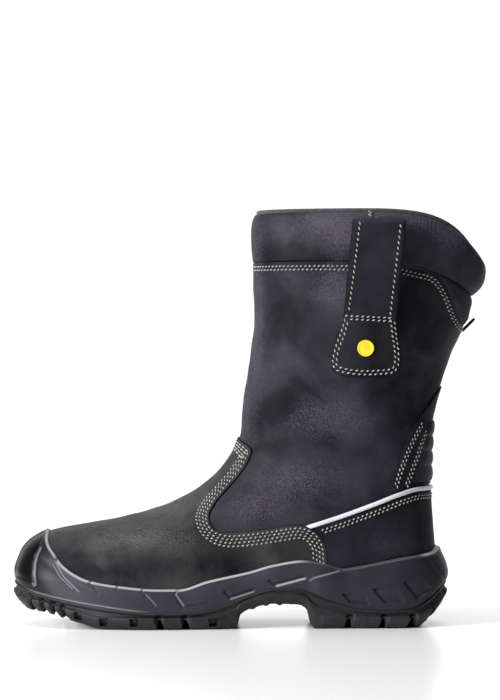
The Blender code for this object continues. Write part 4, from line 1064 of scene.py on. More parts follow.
class BootMidsole(bpy.types.Operator):
    """Makes the moulded midsole with its toe cap and heel plate"""

    bl_idname = "boot.midsole"
    bl_label = "Midsole"

    def execute(self, context):
        """The outer side is the last lifted by the wall's thickness and flared out to the sole's edge, with
        the moulded relief along its normals. It turns over the rim and goes down inside along the last."""
        colours = context.scene.boot_colours
        turn = even_turns(MIDSOLE_COLUMNS)
        edge = row_at(turn, SIDEWALL_TOP, 0, VAMP_ROW)
        share = 1 - np.linspace(1, 0, MIDSOLE_ROWS)[:, None] ** RIM_CROWDING
        lift = CAP_THICKNESS + (SIDEWALL_EDGE - CAP_THICKNESS) * ramp(share, THIN_FROM, 1 - THIN_FROM)
        outer = last(share * edge, turn, lift)
        foot = sole_ring(SOLE_EDGE, turn, JOINT_EDGE, JOINT_GAP)
        heel = ramp(share_of(turn), HEEL_AT, 1 - HEEL_AT)
        flare = 1 - ease(share / (FLARE_SHARE + (FLARE_SHARE_HEEL - FLARE_SHARE) * heel))
        straight = ramp(share_of(turn), *STRAIGHT_START) * (1 - heel)
        flare = flare + straight * (1 - share - flare)
        outer = outer + flare[..., None] * (foot - outer[0])
        climb = run_length(outer)
        below_rim = climb[-1] - climb
        relief = moulded_relief(outer[..., 0], outer[..., 2], below_rim)
        relief -= TOE_PANEL_DEPTH * toe_panels(outer)
        pale = scuffs_and_highlights(outer[..., 0], outer[..., 2], below_rim)
        outer = outer + grid_normals(outer, closed=True) * (relief * ease(climb / RELIEF_FOOT))[..., None]
        ledge = last(edge, turn, CUP_GAP)
        inner = last(np.linspace(CUP_TOP, 0, CUP_ROWS)[:, None] * edge, turn, CUP_GAP)
        inner[-1, :, 2] = last_point(0, turn)[:, 2] - CUP_FLOOR
        bottom = inset_ring(foot, JOINT_INSET)
        bottom[:, 2] = line(JOINT_CORE, bottom[:, 0]) + CORE_GAP
        grid = np.concatenate((bottom[None], outer, ledge[None], inner))
        faces = quads(*grid.shape[:2], closed=True)
        faces += ladder(len(turn)) + ladder(len(turn), (len(grid) - 1) * len(turn))
        finish = moulded_polyurethane(
            "moulded_polyurethane", colours.midsole, colours.midsole_worn, colours.midsole_pale)
        piece = put("midsole_polyurethane", grid, faces, finish, "midsole_polyurethane", ["midsole"])
        # Painted shade: the toe cap darkens towards its front beside the strip, and the heel darkens
        black = TOE_PAINTED_SHADE * (1 - ramp(grid[..., 0], *TOE_PAINTED_SHADE_END)) * beside_toe_strip(grid)
        black += HEEL_PAINTED_SHADE * ramp(grid[..., 0], *HEEL_PAINTED_SHADE_START)
        mark(piece, "black", np.maximum(toe_panels(grid), black))
        # Pale marks, mostly a painted highlight along the rim and the moulded edges
        mark(piece, "scuffed_and_highlighted", np.pad(pale, ((1, 1 + len(inner)), (0, 0))))
        return {"FINISHED"}


UPPER_COLUMNS, UPPER_ROWS, UPPER_INNER_ROWS = 330, 150, 24
LINING_COLUMNS, LINING_ROWS = 150, 70
INSOLE_COLUMNS, INSOLE_RINGS = 160, 12
# The lining's first row, its gap to the leather, and the gap in rows along a seam
LINING_ROW, LINING_GAP, ROW_GAP = 0.3, 0.1, 0.006
# The insole: thickness, gaps round and under it, ends of its middle line, cup at the heel
INSOLE_THICKNESS, INSOLE_GAP, INSOLE_LIFT, INSOLE_SPINE = 3.0, 0.6, 0.2, (46.0, 36.0)
INSOLE_CUP, INSOLE_CUP_START = 1.2, (20, 50)


class BootInside(bpy.types.Operator):
    """Makes the felt lining and the insole"""

    bl_idname = "boot.inside"
    bl_label = "Lining and insole"

    def execute(self, context):
        """The lining is the leather's form moved in by the leather's thickness. The insole is rings drawn
        in from the feather line to its middle line, cupped by the square of their distance from it."""
        sizes, colours = context.scene.boot_sizes, context.scene.boot_colours
        felt = lining_felt(colours)
        turn = full_turn(LINING_COLUMNS)
        row = LINING_ROW + np.linspace(0, 1, LINING_ROWS)[:, None] * (shaft_top_row(turn) - LINING_ROW)
        outer = leather(row, turn, -sizes.leather / MM - LINING_GAP)
        inner = leather(row, turn, -sizes.wall / MM)
        put("lining_felt", *ring_shell(outer, inner), felt, "lining_felt")
        around = even_turns(INSOLE_COLUMNS)
        edge = inset_ring(last_point(0, around), sizes.wall / MM + INSOLE_GAP)
        inward = np.linspace(0, 1, INSOLE_RINGS)[:, None, None]
        top = edge + (spine_ring(edge, LAST[0], *INSOLE_SPINE) - edge) * inward
        cup = INSOLE_CUP * (1 - inward[..., 0]) ** 2 * ramp(top[..., 0], *INSOLE_CUP_START)
        top[..., 2] = line(FEATHER, top[..., 0]) + INSOLE_THICKNESS + cup
        low = edge.copy()
        low[:, 2] = line(FEATHER, low[:, 0]) + INSOLE_LIFT
        grid = np.concatenate((low[None], top))
        faces = quads(*grid.shape[:2], closed=True) + ladder(len(around))
        put("insole_felt", grid, faces, felt, "lining_felt", ["insole"], merge=0.02)
        return {"FINISHED"}


class BootUpper(bpy.types.Operator):
    """Makes the leather of the upper, from the feather line to the collar"""

    bl_idname = "boot.upper"
    bl_label = "Upper"

    def execute(self, context):
        """One hollow wall: the creased last outside, and the same form moved in by the leather's
        thickness."""
        sizes, colours = context.scene.boot_sizes, context.scene.boot_colours
        turn = full_turn(UPPER_COLUMNS)
        top = shaft_top_row(turn) - ROW_GAP
        outer = leather(np.linspace(0, 1, UPPER_ROWS)[:, None] * top, turn)
        inner = leather(np.linspace(0, 1, UPPER_INNER_ROWS)[:, None] * top, turn, -sizes.leather / MM)
        shell = ring_shell(outer, inner)
        mark_sheen_wear_and_shade(put("upper_leather", *shell, shaft_leather(colours), "black_leather", ["upper"]))
        return {"FINISHED"}


VAMP_COLUMNS_A_SIDE, VAMP_ROWS = 150, 46
COUNTER_COLUMNS, COUNTER_ROWS = 220, 34
STAY_COLUMNS, STAY_ROWS = 60, 70
# How far a panel goes in behind the rim
PANEL_TUCK = 1.6
# The stand-off of the vamp's edge, and in rows its peak at the front and its least height
VAMP_EDGE_LIFT, VAMP_PEAK, VAMP_LEAST = 1.0, 0.06, 0.01
# A point at the counter's covered front end, and the shares of a panel's thickness
COUNTER_FRONT, COUNTER_SHARE, STAY_SHARE = (39.0, 62.0), 0.7, 0.8
# Black dye on the straps and the heel's panels
DYED = 0.42


def vamp_edge():
    """Rows and turns of the vamp's back edge on the outer side, at even steps along it."""
    points = np.array(VAMP_EDGE)
    row, turn = flank(points[:, 0], points[:, 1], VAMP_EDGE_LIFT)
    row = np.concatenate((row[:1] + VAMP_PEAK, row))
    turn = np.concatenate(((0.0,), turn))
    length = run_length(last_point(row, turn))
    even = np.linspace(0, length[-1], VAMP_COLUMNS_A_SIDE)
    return smooth(length, row, even), smooth(length, turn, even)


def rim_row(turn):
    """The row a little below the midsole's rim, where the panels go in behind it."""
    row = row_at(turn, SIDEWALL_TOP, 0, VAMP_ROW)
    return row - PANEL_TUCK / row_height(row, turn)


# Distances of a panel's last rows from its edge, the height below which they crowd, the radius of its
# rounding, and the ink's full width and fade
PANEL_EDGE, PANEL_EDGE_ROOM, PANEL_ROUND = np.array((1.8, 1.2, 0.75, 0.4, 0.15, 0.0))[:, None], 4.0, 0.9
INK_WIDTH, INK_FADE = 0.3, 0.9
# The share of a panel's thickness left behind the rim, the heights left at the cut edges, and how deep a
# panel's back is sunk
PANEL_FOOT, PANEL_LIP, STAY_LIP, PANEL_SINK = 0.25, 0.15, 0.1, 0.3


def edge_round(to_edge):
    """A quarter ellipse over the rounding of a cut edge: 0 at the edge, 1 inside."""
    return np.sqrt(1 - (1 - np.clip(to_edge / PANEL_ROUND, 0, 1)) ** 2)


def edge_ink(to_edge):
    """The share of ink on a cut edge: 1 at the edge, fading to 0 inside."""
    return 1 - ramp(to_edge, INK_WIDTH, INK_FADE)


def sewn_panel(low, high, turn, rows, thickness):
    """A panel between two rows at each turn, and the ink on it. It stands off by its thickness, rounds down
    over its upper edge as a quarter ellipse, and thins towards its lower edge, where the rim holds it."""
    scale = row_height(high, turn)
    edge_rows = high - PANEL_EDGE * np.minimum(1, (high - low) * scale / PANEL_EDGE_ROOM) / scale
    body = low + np.linspace(0, 1, rows)[:-1, None] * (edge_rows[0] - low)
    row = np.concatenate((body, edge_rows))
    scale = row_height(row, turn)
    to_edge, to_foot = (high - row) * scale, (row - low) * scale
    foot = PANEL_FOOT + (1 - PANEL_FOOT) * ease(to_foot / (1.5 * PANEL_TUCK))
    outer = leather(row, turn, PANEL_LIP + (thickness - PANEL_LIP) * edge_round(to_edge) * foot)
    inner = leather(row, turn, -PANEL_SINK)
    ink = edge_ink(to_edge).T
    shell = panel_shell(outer.swapaxes(0, 1), inner.swapaxes(0, 1))
    return *shell, np.concatenate((ink, ink[:, ::-1]), axis=1)


def back_strip(points, heights, columns):
    """Rows, turns and shares across of a strip round the back whose two sides follow a side-view line."""
    row, start = flank(reach_at(points, heights), heights)
    across = np.linspace(0, 1, columns)
    turn = start[:, None] + across * (FULL_TURN - 2 * start[:, None])
    return row[:, None], turn, across


class BootPanels(bpy.types.Operator):
    """Makes the leather panels sewn onto the upper: vamp, heel counter and back stay"""

    bl_idname = "boot.panels"
    bl_label = "Panels"

    def execute(self, context):
        """Each panel lies on the creased last between two side-view lines."""
        colours, thick = context.scene.boot_colours, context.scene.boot_sizes.panel / MM
        self.make_vamp(colours, thick)
        self.make_counter(colours, thick)
        self.make_stay(colours, thick)
        return {"FINISHED"}

    def make_vamp(self, colours, thick):
        """From one side's rim over the instep to the other's, up to the vamp's edge."""
        row, turn = vamp_edge()
        high = np.concatenate((row[::-1], row[1:]))
        turn = np.concatenate((-turn[::-1], turn[1:]))
        low = np.minimum(rim_row(turn), high - VAMP_LEAST)
        finish = oiled_leather(
            "waxed_vamp_leather", colours.vamp, colours.vamp_bloom,
            roughness=0.55, gloss_level=0.08, pore_mm=0.9)
        grid, faces, ink = sewn_panel(low, high, turn, VAMP_ROWS, thick)
        mark(mark_sheen_wear_and_shade(put("vamp_leather", grid, faces, finish, "black_leather")), "ink", ink)

    def make_counter(self, colours, thick):
        """Round the heel, from the rim up to the piping."""
        start = flank(*COUNTER_FRONT)[1]
        turn = np.linspace(start, FULL_TURN - start, COUNTER_COLUMNS)
        high = row_at(turn, PIPING_LINE, INSTEP_ROW, SHIN_ROW)
        grid, faces, ink = sewn_panel(rim_row(turn), high, turn, COUNTER_ROWS, COUNTER_SHARE * thick)
        piece = put("heel_counter_leather", grid, faces, shaft_leather(colours), "black_leather")
        mark(mark_sheen_wear_and_shade(piece), "ink", np.maximum(ink, DYED))

    def make_stay(self, colours, thick):
        """Up the back from the piping, rounded down at its two sides."""
        heights = np.linspace(STAY_EDGE[0][1], STAY_EDGE[-1][1], STAY_ROWS)
        row, turn, across = back_strip(STAY_EDGE, heights, STAY_COLUMNS)
        by_turn = slopes(row[:, 0], turn[:, 0])[1]
        width = np.linalg.norm(by_turn, axis=-1) * (math.pi - turn[:, 0])
        to_side = np.minimum(across, 1 - across) * 2 * width[:, None]
        outer = leather(row, turn, STAY_LIP + STAY_SHARE * thick * edge_round(to_side))
        shell = panel_shell(outer, leather(row, turn, -PANEL_SINK))
        piece = put("back_stay_leather", *shell, shaft_leather(colours), "black_leather")
        mark(piece, "ink", np.maximum(edge_ink(np.concatenate((to_side, to_side), axis=1)), DYED))


# The collar's section: share of its height, share of its fullness, and millimetres on top
Band = namedtuple("Band", "height full lift")
COLLAR_SKIN = [Band(*row) for row in (
    (0, 0, -0.9), (0.015, 0.15, -0.1), (0.06, 0.38, 0), (0.14, 0.62, 0), (0.26, 0.86, 0), (0.4, 1, 0),
    (0.56, 1.03, 0), (0.72, 0.95, 0), (0.82, 0.74, 0), (0.88, 0.46, -0.2), (0.915, 0.15, -0.8),
    (0.922, 0, -1.5), (0.905, 0, -2.1), (0.87, 0.1, -2.2), (0.72, 0.95, -1.5), (0.4, 1, -1.5),
    (0.14, 0.6, -1.5), (0, 0, -1.8),
)]
COLLAR_FELT = [Band(*row) for row in (
    (0, 0, -2), (0.4, 1, -1.9), (0.72, 0.95, -1.9), (0.875, 0.1, -2.3), (0.93, 0, -1.5), (0.965, 0, -1.4),
    (0.99, 0, -1.9), (1, 0, -2.7), (0.992, 0, -3.6), (0.96, 0, -4.4), (0.86, 0, -6), (0.66, 0, -7.8),
    (0.34, 0, -7.8), (0.12, 0, -6), (0.02, 0, -3.4),
)]
COLLAR_FRONT, COLLAR_SIDE, COLLAR_BACK, COLLAR_BACK_FROM = 0.9, 0.9, 3.2, 0.55
# The last is the share of the rings that lie outside
COLLAR_COLUMNS, COLLAR_RINGS, COLLAR_OUTSIDE = 800, 56, 0.68
# Wrinkles: pitch, depth, and their ramps along the boot and up the collar
WRINKLE_PITCH, WRINKLE_DEPTH = 2.5, 0.16
WRINKLE_START, WRINKLE_END, WRINKLE_LOW, WRINKLE_HIGH = (88, 14), (150, -30), (0.5, 0.25), (0.93, -0.06)
# The collar's slow swelling, its side seams and the fuzz of its felt, with their ramps
SWELL, SWELL_LOW, SWELL_HIGH = 0.5, (0.0, 0.3), (0.9, -0.2)
COLLAR_SEAM, COLLAR_SEAM_X, COLLAR_SEAM_HALF, COLLAR_SEAM_LOW = 0.9, 85.3, 0.9, (0.70, 0.1)
FUZZ, FUZZ_LOW, SEED = 0.2, (0.92, 0.03), 7
# The bellows: front end, swelling, height of its folds, depth of its back, rows to swell over
BELLOWS_COLUMNS, BELLOWS_ROWS, BELLOWS_FRONT = 130, 36, (112.0, 247.0)
BELLOWS_SWELL, BELLOWS_FOLD, BELLOWS_BACK, BELLOWS_FADE = 2.2, 0.35, 2.6, 0.6
# The tab at the end of the back seam: place, slope, length, half width and thickness, sunk root
BACK_TAB_X, BACK_TAB_Z, BACK_TAB_SLOPE = 149.0, 205.4, math.radians(45)
BACK_TAB_LENGTH, BACK_TAB_HALF, BACK_TAB_THICK, BACK_TAB_ROOT = 12.0, 5.5, 1.0, 0.5
BACK_TAB_RINGS, BACK_TAB_SIDES = 24, 28


def collar_rings(bands, turn):
    """Rows and stand-offs of a collar section carried round the boot, and the share of its height of each
    ring."""
    at = np.linspace(0, len(bands) - 1, COLLAR_RINGS)
    height, full, lift = (column[:, None] for column in blended(bands, at))
    s = share_of(turn)
    back = ramp(s, COLLAR_BACK_FROM, 1 - COLLAR_BACK_FROM)
    fullness = COLLAR_FRONT + COLLAR_SIDE * ease(2 * s) + COLLAR_BACK * back
    low = SEAM_ROW + ROW_GAP
    return low + height * (RIM_ROW - low) + 0 * turn, lift + full * fullness, height


class BootCollar(bpy.types.Operator):
    """Makes the padded collar, its felt edge, the bellows and the tab"""

    bl_idname = "boot.collar"
    bl_label = "Collar"

    def execute(self, context):
        """The collar's section carried round the boot, in leather outside and in felt at the rim and
        inside."""
        colours = context.scene.boot_colours
        turn = full_turn(COLLAR_COLUMNS)
        row, lift, height = collar_rings(COLLAR_SKIN, turn)
        outside = np.arange(COLLAR_RINGS)[:, None] < COLLAR_RINGS * COLLAR_OUTSIDE
        skin = last(row, turn, lift + outside * self.relief(last_point(row, turn), height))
        faces = quads(*skin.shape[:2], closed=True, joined=True)
        collar = put("collar_leather", skin, faces, collar_leather(colours), "collar_leather", ["collar"])
        mark_sheen_wear_and_shade(collar)
        row, lift, height = collar_rings(COLLAR_FELT, turn)
        fuzz = FUZZ * np.random.default_rng(SEED).normal(size=row.shape) * ramp(height, *FUZZ_LOW)
        felt = last(row, turn, lift + fuzz)
        lining = put("collar_felt", felt, faces, lining_felt(colours), "lining_felt")
        self.make_bellows(colours)
        self.make_tab(colours)
        return {"FINISHED"}

    def relief(self, place, height):
        """Wrinkles towards the back, as a sine of the distance round the rim whose phase and depth drift
        with slower sines, a slow swelling, and a bell-shaped trough at the seam on either side."""
        x, along = place[..., 0], run_length(place[0])
        drift = 2.4 * np.sin(along / 7.0 + 3.0 * height) + 1.7 * np.sin(along / 3.1) + 5.0 * height
        zone = ramp(x, *WRINKLE_START) * ramp(x, *WRINKLE_END) * (0.6 + 0.4 * np.sin(along / 5.3))
        zone = zone * ramp(height, *WRINKLE_LOW) * ramp(height, *WRINKLE_HIGH)
        wrinkle = WRINKLE_DEPTH * zone * np.sin(FULL_TURN * along / WRINKLE_PITCH + drift)
        swell = SWELL * np.sin(along / 15.0 + 2.0 * height)
        swell = swell * ramp(height, *SWELL_LOW) * ramp(height, *SWELL_HIGH)
        seam = bell(x - COLLAR_SEAM_X, COLLAR_SEAM_HALF) * ramp(height, *COLLAR_SEAM_LOW)
        return wrinkle + swell - COLLAR_SEAM * seam

    def make_bellows(self, colours):
        """The crescent between the shaft's dipped back and the collar: it swells as sin^0.7 of the share of
        its height, with two soft folds along it."""
        start = flank(*BELLOWS_FRONT)[1]
        turn = np.linspace(start, FULL_TURN - start, BELLOWS_COLUMNS)[:, None]
        low, high = shaft_top_row(turn) + 2 * ROW_GAP, SEAM_ROW - ROW_GAP
        share = np.linspace(0, 1, BELLOWS_ROWS)
        row = low + share * (high - low)
        full = ease((high - low) / BELLOWS_FADE) * np.sin(math.pi * share) ** 0.7
        fold = BELLOWS_FOLD * np.sin(3 * math.pi * share + 0.5 * np.sin(5 * turn)) * full
        outer = last(row, turn, BELLOWS_SWELL * full + fold)
        inner = last(row, turn, -BELLOWS_BACK)
        shell = panel_shell(outer, inner)
        piece = put("bellows_leather", *shell, shaft_leather(colours), "black_leather", ["back_bellows"])

    def make_tab(self, colours):
        """A tongue of leather that stands out and up: superellipse sections whose half width falls by 0.55
        over the last 0.4 of its length, and whose thickness falls by 0.35 over the last 0.15."""
        along, angle = np.linspace(0, 1, BACK_TAB_RINGS)[:, None], full_turn(BACK_TAB_SIDES)
        half = BACK_TAB_HALF * (1 - np.clip((along - 0.6) / 0.4, 0, 1) ** 2.5 * 0.55)
        thick = BACK_TAB_THICK * (1 - 0.35 * ramp(along, 0.85, 0.15))
        y = half * np.sign(np.cos(angle)) * np.abs(np.cos(angle)) ** 0.4
        out = thick * np.sign(np.sin(angle)) * np.abs(np.sin(angle)) ** 0.6
        reach = BACK_TAB_LENGTH * along - BACK_TAB_ROOT
        ahead, rise = math.cos(BACK_TAB_SLOPE), math.sin(BACK_TAB_SLOPE)
        x = BACK_TAB_X + reach * ahead - out * rise
        z = BACK_TAB_Z + reach * rise + out * ahead
        grid = np.stack((x, y, z), axis=-1)
        faces = capped(BACK_TAB_RINGS, BACK_TAB_SIDES)
        put("back_tab_leather", grid, faces, shaft_leather(colours), "black_leather", ["back_tab"])


PAD_RIBS, PAD_COLUMNS, PAD_ROWS = 4, 70, 96
# How far the pad ends below its side line, its stand-off at the sides, what its body and a rib add, the
# share across over which they grow, and the stand-off of its back
PAD_SHORT, PAD_SIDE, PAD_BODY, PAD_RIB, PAD_FADE, PAD_BACK = 4.0, 0.9, 0.5, 1.3, 0.14, 0.2


class BootHeelPad(bpy.types.Operator):
    """Makes the ribbed pad over the heel's tendon"""

    bl_idname = "boot.heel_pad"
    bl_label = "Ribbed pad"

    def execute(self, context):
        """Ribs as |sin|^0.6 of the height, fading towards the pad's two sides."""
        colours = context.scene.boot_colours
        bottom, top = PAD_FRONT[0][1], PAD_FRONT[-1][1] - PAD_SHORT
        height = np.linspace(bottom, top, PAD_ROWS)
        row, turn, across = back_strip(PAD_FRONT, height, PAD_COLUMNS)
        along = ((height - bottom) / (top - bottom))[:, None]
        rib = np.abs(np.sin(math.pi * PAD_RIBS * along)) ** 0.6
        fade = ease(np.minimum(across, 1 - across) / PAD_FADE)
        outer = last(row, turn, PAD_SIDE + PAD_BODY * fade + PAD_RIB * rib * fade)
        shell = panel_shell(outer, last(row, turn, PAD_BACK))
        finish = collar_leather(colours)
        piece = put("heel_pad_leather", *shell, finish, "collar_leather", ["achilles_pad"])
        return {"FINISHED"}


PIPING_POINTS, PIPING_SIDES, PIPING_RADIUS, PIPING_FLAT = 240, 12, 1.5, 0.62
# How far the piping's middle stands off, how deep its ends dive, and over how many points
PIPING_LIFT, PIPING_DIVE, PIPING_DIVE_POINTS = 1.5, 1.9, 4.5
# Where the piping starts, and the first turn and number of turns to look for that among
PIPING_FROM_X, SEARCH_FROM, SEARCH_TURNS = 36.6, 0.5, 400


def piping_path():
    """Rows and turns of the piping, from its start on the outer side round the heel to the inner side."""
    turns = np.linspace(SEARCH_FROM, math.pi, SEARCH_TURNS)
    row = row_at(turns, PIPING_LINE, INSTEP_ROW, SHIN_ROW)
    start = turns[last_point(row, turns)[:, 0] > PIPING_FROM_X][0]
    turn = np.linspace(start, FULL_TURN - start, PIPING_POINTS)
    return row_at(turn, PIPING_LINE, INSTEP_ROW, SHIN_ROW), turn


class BootPiping(bpy.types.Operator):
    """Makes the reflective piping round the heel"""

    bl_idname = "boot.piping"
    bl_label = "Piping"

    def execute(self, context):
        """An ellipse carried along the piping line on the leather, which dives under the vamp at both
        ends."""
        colours = context.scene.boot_colours
        row, turn = piping_path()
        normal = last_normal(row, turn)
        from_end = np.minimum(np.arange(PIPING_POINTS), np.arange(PIPING_POINTS)[::-1])
        path = leather(row, turn, PIPING_LIFT - PIPING_DIVE * (1 - ease(from_end / PIPING_DIVE_POINTS)))
        side = unit(np.cross(normal, np.gradient(path, axis=0)))
        angle = full_turn(PIPING_SIDES)[:, None]
        around = side[:, None] * np.cos(angle) + PIPING_FLAT * normal[:, None] * np.sin(angle)
        rings, faces = path[:, None] + PIPING_RADIUS * around, capped(PIPING_POINTS, PIPING_SIDES)
        finish = reflective_tape("reflective_tape", colours.piping, colours.piping_grey)
        put("piping_reflective", rings, faces, finish, "reflective_piping", ["reflective_piping"])
        return {"FINISHED"}


# A pull loop from its sewn end over the fold to its tab: height, middle, half width, stand-off, and how
# flat it is across
Strap = namedtuple("Strap", "z x half lift flat")
LOOP = [Strap(*row) for row in (
    (205, 81.4, 17, 1.3, 0), (225, 83, 17.6, 1.3, 0), (240, 84.4, 17.8, 2.6, 0), (252, 85.5, 18, 4.4, 0),
    (264, 86.6, 18, 4.6, 0), (275.4, 87.6, 18, 4.6, 0.1), (278.8, 88, 18, 5.8, 0.3),
    (280.2, 88.1, 18, 8.6, 0.5), (278.8, 88, 18.2, 11.4, 0.7), (275.4, 87.6, 18.2, 12.6, 0.8),
    (264, 86.6, 18.3, 12.9, 0.8), (252, 85.5, 18.3, 12.4, 0.8), (236, 84, 18.3, 9.6, 0.7),
    (222, 82.8, 18.2, 6.2, 0.5), (212, 81.9, 18.4, 4, 0.2), (203.5, 80.6, 20.6, 3.2, 0),
    (198, 80.2, 21.8, 1.9, 0), (188, 79.6, 23.6, 1.4, 0), (179.5, 79.4, 23.6, 1.4, 0),
    (175.6, 79.4, 21, 1.4, 0), (173.8, 79.4, 16, 1.4, 0),
)]
LOOP_FOLD, LOOP_THICKNESS = 7, 1.8
LOOP_STEPS, LOOP_COLUMNS = 150, 25
# How much a strap thins at its edges, the ramps of that and of the ink across it, and at its tip
LOOP_THINNING, LOOP_EDGE, LOOP_EDGE_INK, LOOP_TIP_INK = 0.6, (0.86, 0.14), (0.92, 0.08), (0.5, 3)


def loop_grid():
    """The middle surface of the outer pull loop: the strap's rows joined by smooth curves, each row laid
    across the shaft at its stand-off and flattened towards its middle."""
    at = np.linspace(0, len(LOOP) - 1, LOOP_STEPS)
    z, x, half, lift, flat = (column[:, None] for column in blended(LOOP, at))
    x = x + half * np.linspace(-1, 1, LOOP_COLUMNS)
    grid = last(*flank(x, z, lift), lift)
    grid[..., 1] += flat * (grid[:, LOOP_COLUMNS // 2, 1][:, None] - grid[..., 1])
    return grid


def loop_place(grid, normals, x, z, lift):
    """Points over the front of the loop at x and z in the side view, read between the points of its grid:
    the step comes from z, the column from x."""
    at = np.linspace(0, len(LOOP) - 1, LOOP_STEPS)
    front = at >= LOOP_FOLD
    step = np.interp(-z, -grid[front, LOOP_COLUMNS // 2, 2], np.arange(LOOP_STEPS)[front])
    i = np.clip(step.astype(int), 0, LOOP_STEPS - 2)
    t = (step - i)[:, None]
    across = grid[i, :, 0] * (1 - t) + grid[i + 1, :, 0] * t
    span = (x - across[:, 0]) / (across[:, -1] - across[:, 0]) * (LOOP_COLUMNS - 1)
    j = np.clip(span.astype(int), 0, LOOP_COLUMNS - 2)
    u = (span - j)[:, None]
    read = [
        (g[i, j] * (1 - t) + g[i + 1, j] * t) * (1 - u) + (g[i, j + 1] * (1 - t) + g[i + 1, j + 1] * t) * u
        for g in (grid, normals)
    ]
    return read[0] + unit(read[1]) * lift, unit(read[1])


def loop_normals(grid):
    """Normals of the loop's middle surface, out of the front of the strap."""
    return -grid_normals(grid, closed=False)


def mirrored(points):
    """Points of the outer pull loop carried to the inner side."""
    return points * np.array((1, -1, 1))


class BootPullLoops(bpy.types.Operator):
    """Makes the two folded pull loops"""

    bl_idname = "boot.pull_loops"
    bl_label = "Pull loops"

    def execute(self, context):
        """The loop's middle surface moved out and in by half its thickness, which thins to its two
        edges."""
        colours = context.scene.boot_colours
        grid = loop_grid()
        normals = loop_normals(grid)
        across = np.abs(np.linspace(-1, 1, LOOP_COLUMNS))[None, :, None]
        from_line, fade = LOOP_EDGE
        half = LOOP_THICKNESS / 2 * (1 - LOOP_THINNING * np.clip((across - from_line) / fade, 0, 1) ** 2)
        from_tip = (LOOP_STEPS - 1 - np.arange(LOOP_STEPS))[:, None]
        ink = np.maximum(ramp(across[..., 0], *LOOP_EDGE_INK), 1 - ramp(from_tip, *LOOP_TIP_INK))
        ink = np.maximum(np.concatenate((ink, ink), axis=1), DYED)
        finish = shaft_leather(colours)
        for name, node, placed in (
            ("pull_loop_outer_leather", "pull_loop_outer", np.asarray),
            ("pull_loop_inner_leather", "pull_loop_inner", mirrored),
        ):
            shell = panel_shell(placed(grid + normals * half), placed(grid - normals * half))
            mark(put(name, *shell, finish, "black_leather", [node]), "ink", ink)
        return {"FINISHED"}


BADGE_X, BADGE_Z, BADGE_RADIUS, BADGE_THICKNESS, BADGE_GAP, BADGE_SIDES = 79.2, 193.0, 5.7, 1.0, 0.1, 64
# The badge's section from its middle out: share of the radius and share of the thickness
BADGE_SECTION = (
    (0, 0.78), (0.35, 0.76), (0.7, 0.7), (0.78, 0.68), (0.82, 0.8), (0.88, 0.98), (0.94, 0.98), (0.99, 0.8),
    (1, 0.45), (1, 0), (0.6, 0), (0, 0),
)


class BootBadge(bpy.types.Operator):
    """Makes the plain round badge on the outer loop"""

    bl_idname = "boot.badge"
    bl_label = "Badge"

    def execute(self, context):
        """A section turned about the tab's normal: a shallow dish inside a raised rim."""
        colours = context.scene.boot_colours
        grid = loop_grid()
        x, z = np.array((BADGE_X,)), np.array((BADGE_Z,))
        middle, normal = loop_place(grid, loop_normals(grid), x, z, LOOP_THICKNESS / 2 + BADGE_GAP)
        side = unit(np.cross(normal, (0, 0, 1)))
        up = np.cross(side, normal)
        angle = full_turn(BADGE_SIDES)[:, None]
        out = side * np.cos(angle) + up * np.sin(angle)
        radius, rise = (np.array(column)[:, None, None] for column in zip(*BADGE_SECTION))
        rings = middle + out * radius * BADGE_RADIUS + normal * rise * BADGE_THICKNESS
        faces = quads(*rings.shape[:2], closed=True)
        finish = printed_enamel("stoved_enamel", colours.badge, colours.badge_deep)
        put("badge_enamel", rings, faces, finish, "badge_enamel", ["badge"], merge=0.01, sharp=35)
        return {"FINISHED"}


# A stitch: share of the pitch, slant in radians, bluntness, flatness, and the shares of the thread by which
# it arches and falls
STITCH_SHARE, STITCH_SLANT, STITCH_BLUNT, STITCH_FLAT = 0.64, 0.45, 1.02, 0.85
STITCH_ARCH, STITCH_FALL = 0.42, 0.55
STITCH_SIDES, STITCH_RINGS = 6, np.array((-1.0, -0.75, 0.0, 0.75, 1.0))
# Distances of the rows from the edges they follow
VAMP_STITCHES = (2.4, 4.6, 6.8, 9.0)
COLLAR_STITCHES, COLLAR_STITCH_POINTS, SEAM_ROUNDING = (3.0, 5.3), 600, 8
PIPING_STITCHES, PIPING_STITCHES_FROM = (4.6, 6.7), 47.0
STAY_STITCHES = (-1.0, 1.0)
TAB_OUTLINE = (
    (63.6, 213.4), (61.8, 206.7), (55.9, 187.9), (55.3, 182), (59.5, 176.1), (78.4, 173.2), (97.5, 174.6),
    (103, 180.8), (103.4, 187), (101, 206), (100.2, 213),
)
TAB_INSETS = (1.7, 4.1)
# Straight rows on a loop, along the strap and across it: their ends and points
LOOP_ROWS = (
    ((74.8, 278), (67.5, 217.4), 80), ((102.6, 278), (95.8, 215.8), 80), ((65.2, 215.3), (98.2, 213.7), 40),
    ((66.8, 213), (96.6, 211.5), 40),
)
# Where the vamp's rows cross the instep: x and z of their corner, and height at the front
VAMP_TURNS = ((-1, 120.8, 127.4), (-2.6, 119.4, 125.8), (-4.4, 117.9, 124), (-6.2, 116.9, 122.4))
# The first point of the vamp's edge below that corner, and the ends of a level line
VAMP_CORNER, LEVEL_ENDS = 13, (-100, 200)
CROSSING_PITCH, CROSSING_SHARE, CROSSING_POINTS = 4.6, 0.86, 60
ZIGZAG = ((80.7, 286.6), (83.7, 285.4), (80.9, 284.2), (83.9, 283), (81.1, 281.8), (84.1, 280.8))
ZIGZAG_LIFT, ZIGZAG_THREAD = 1.0, 0.7


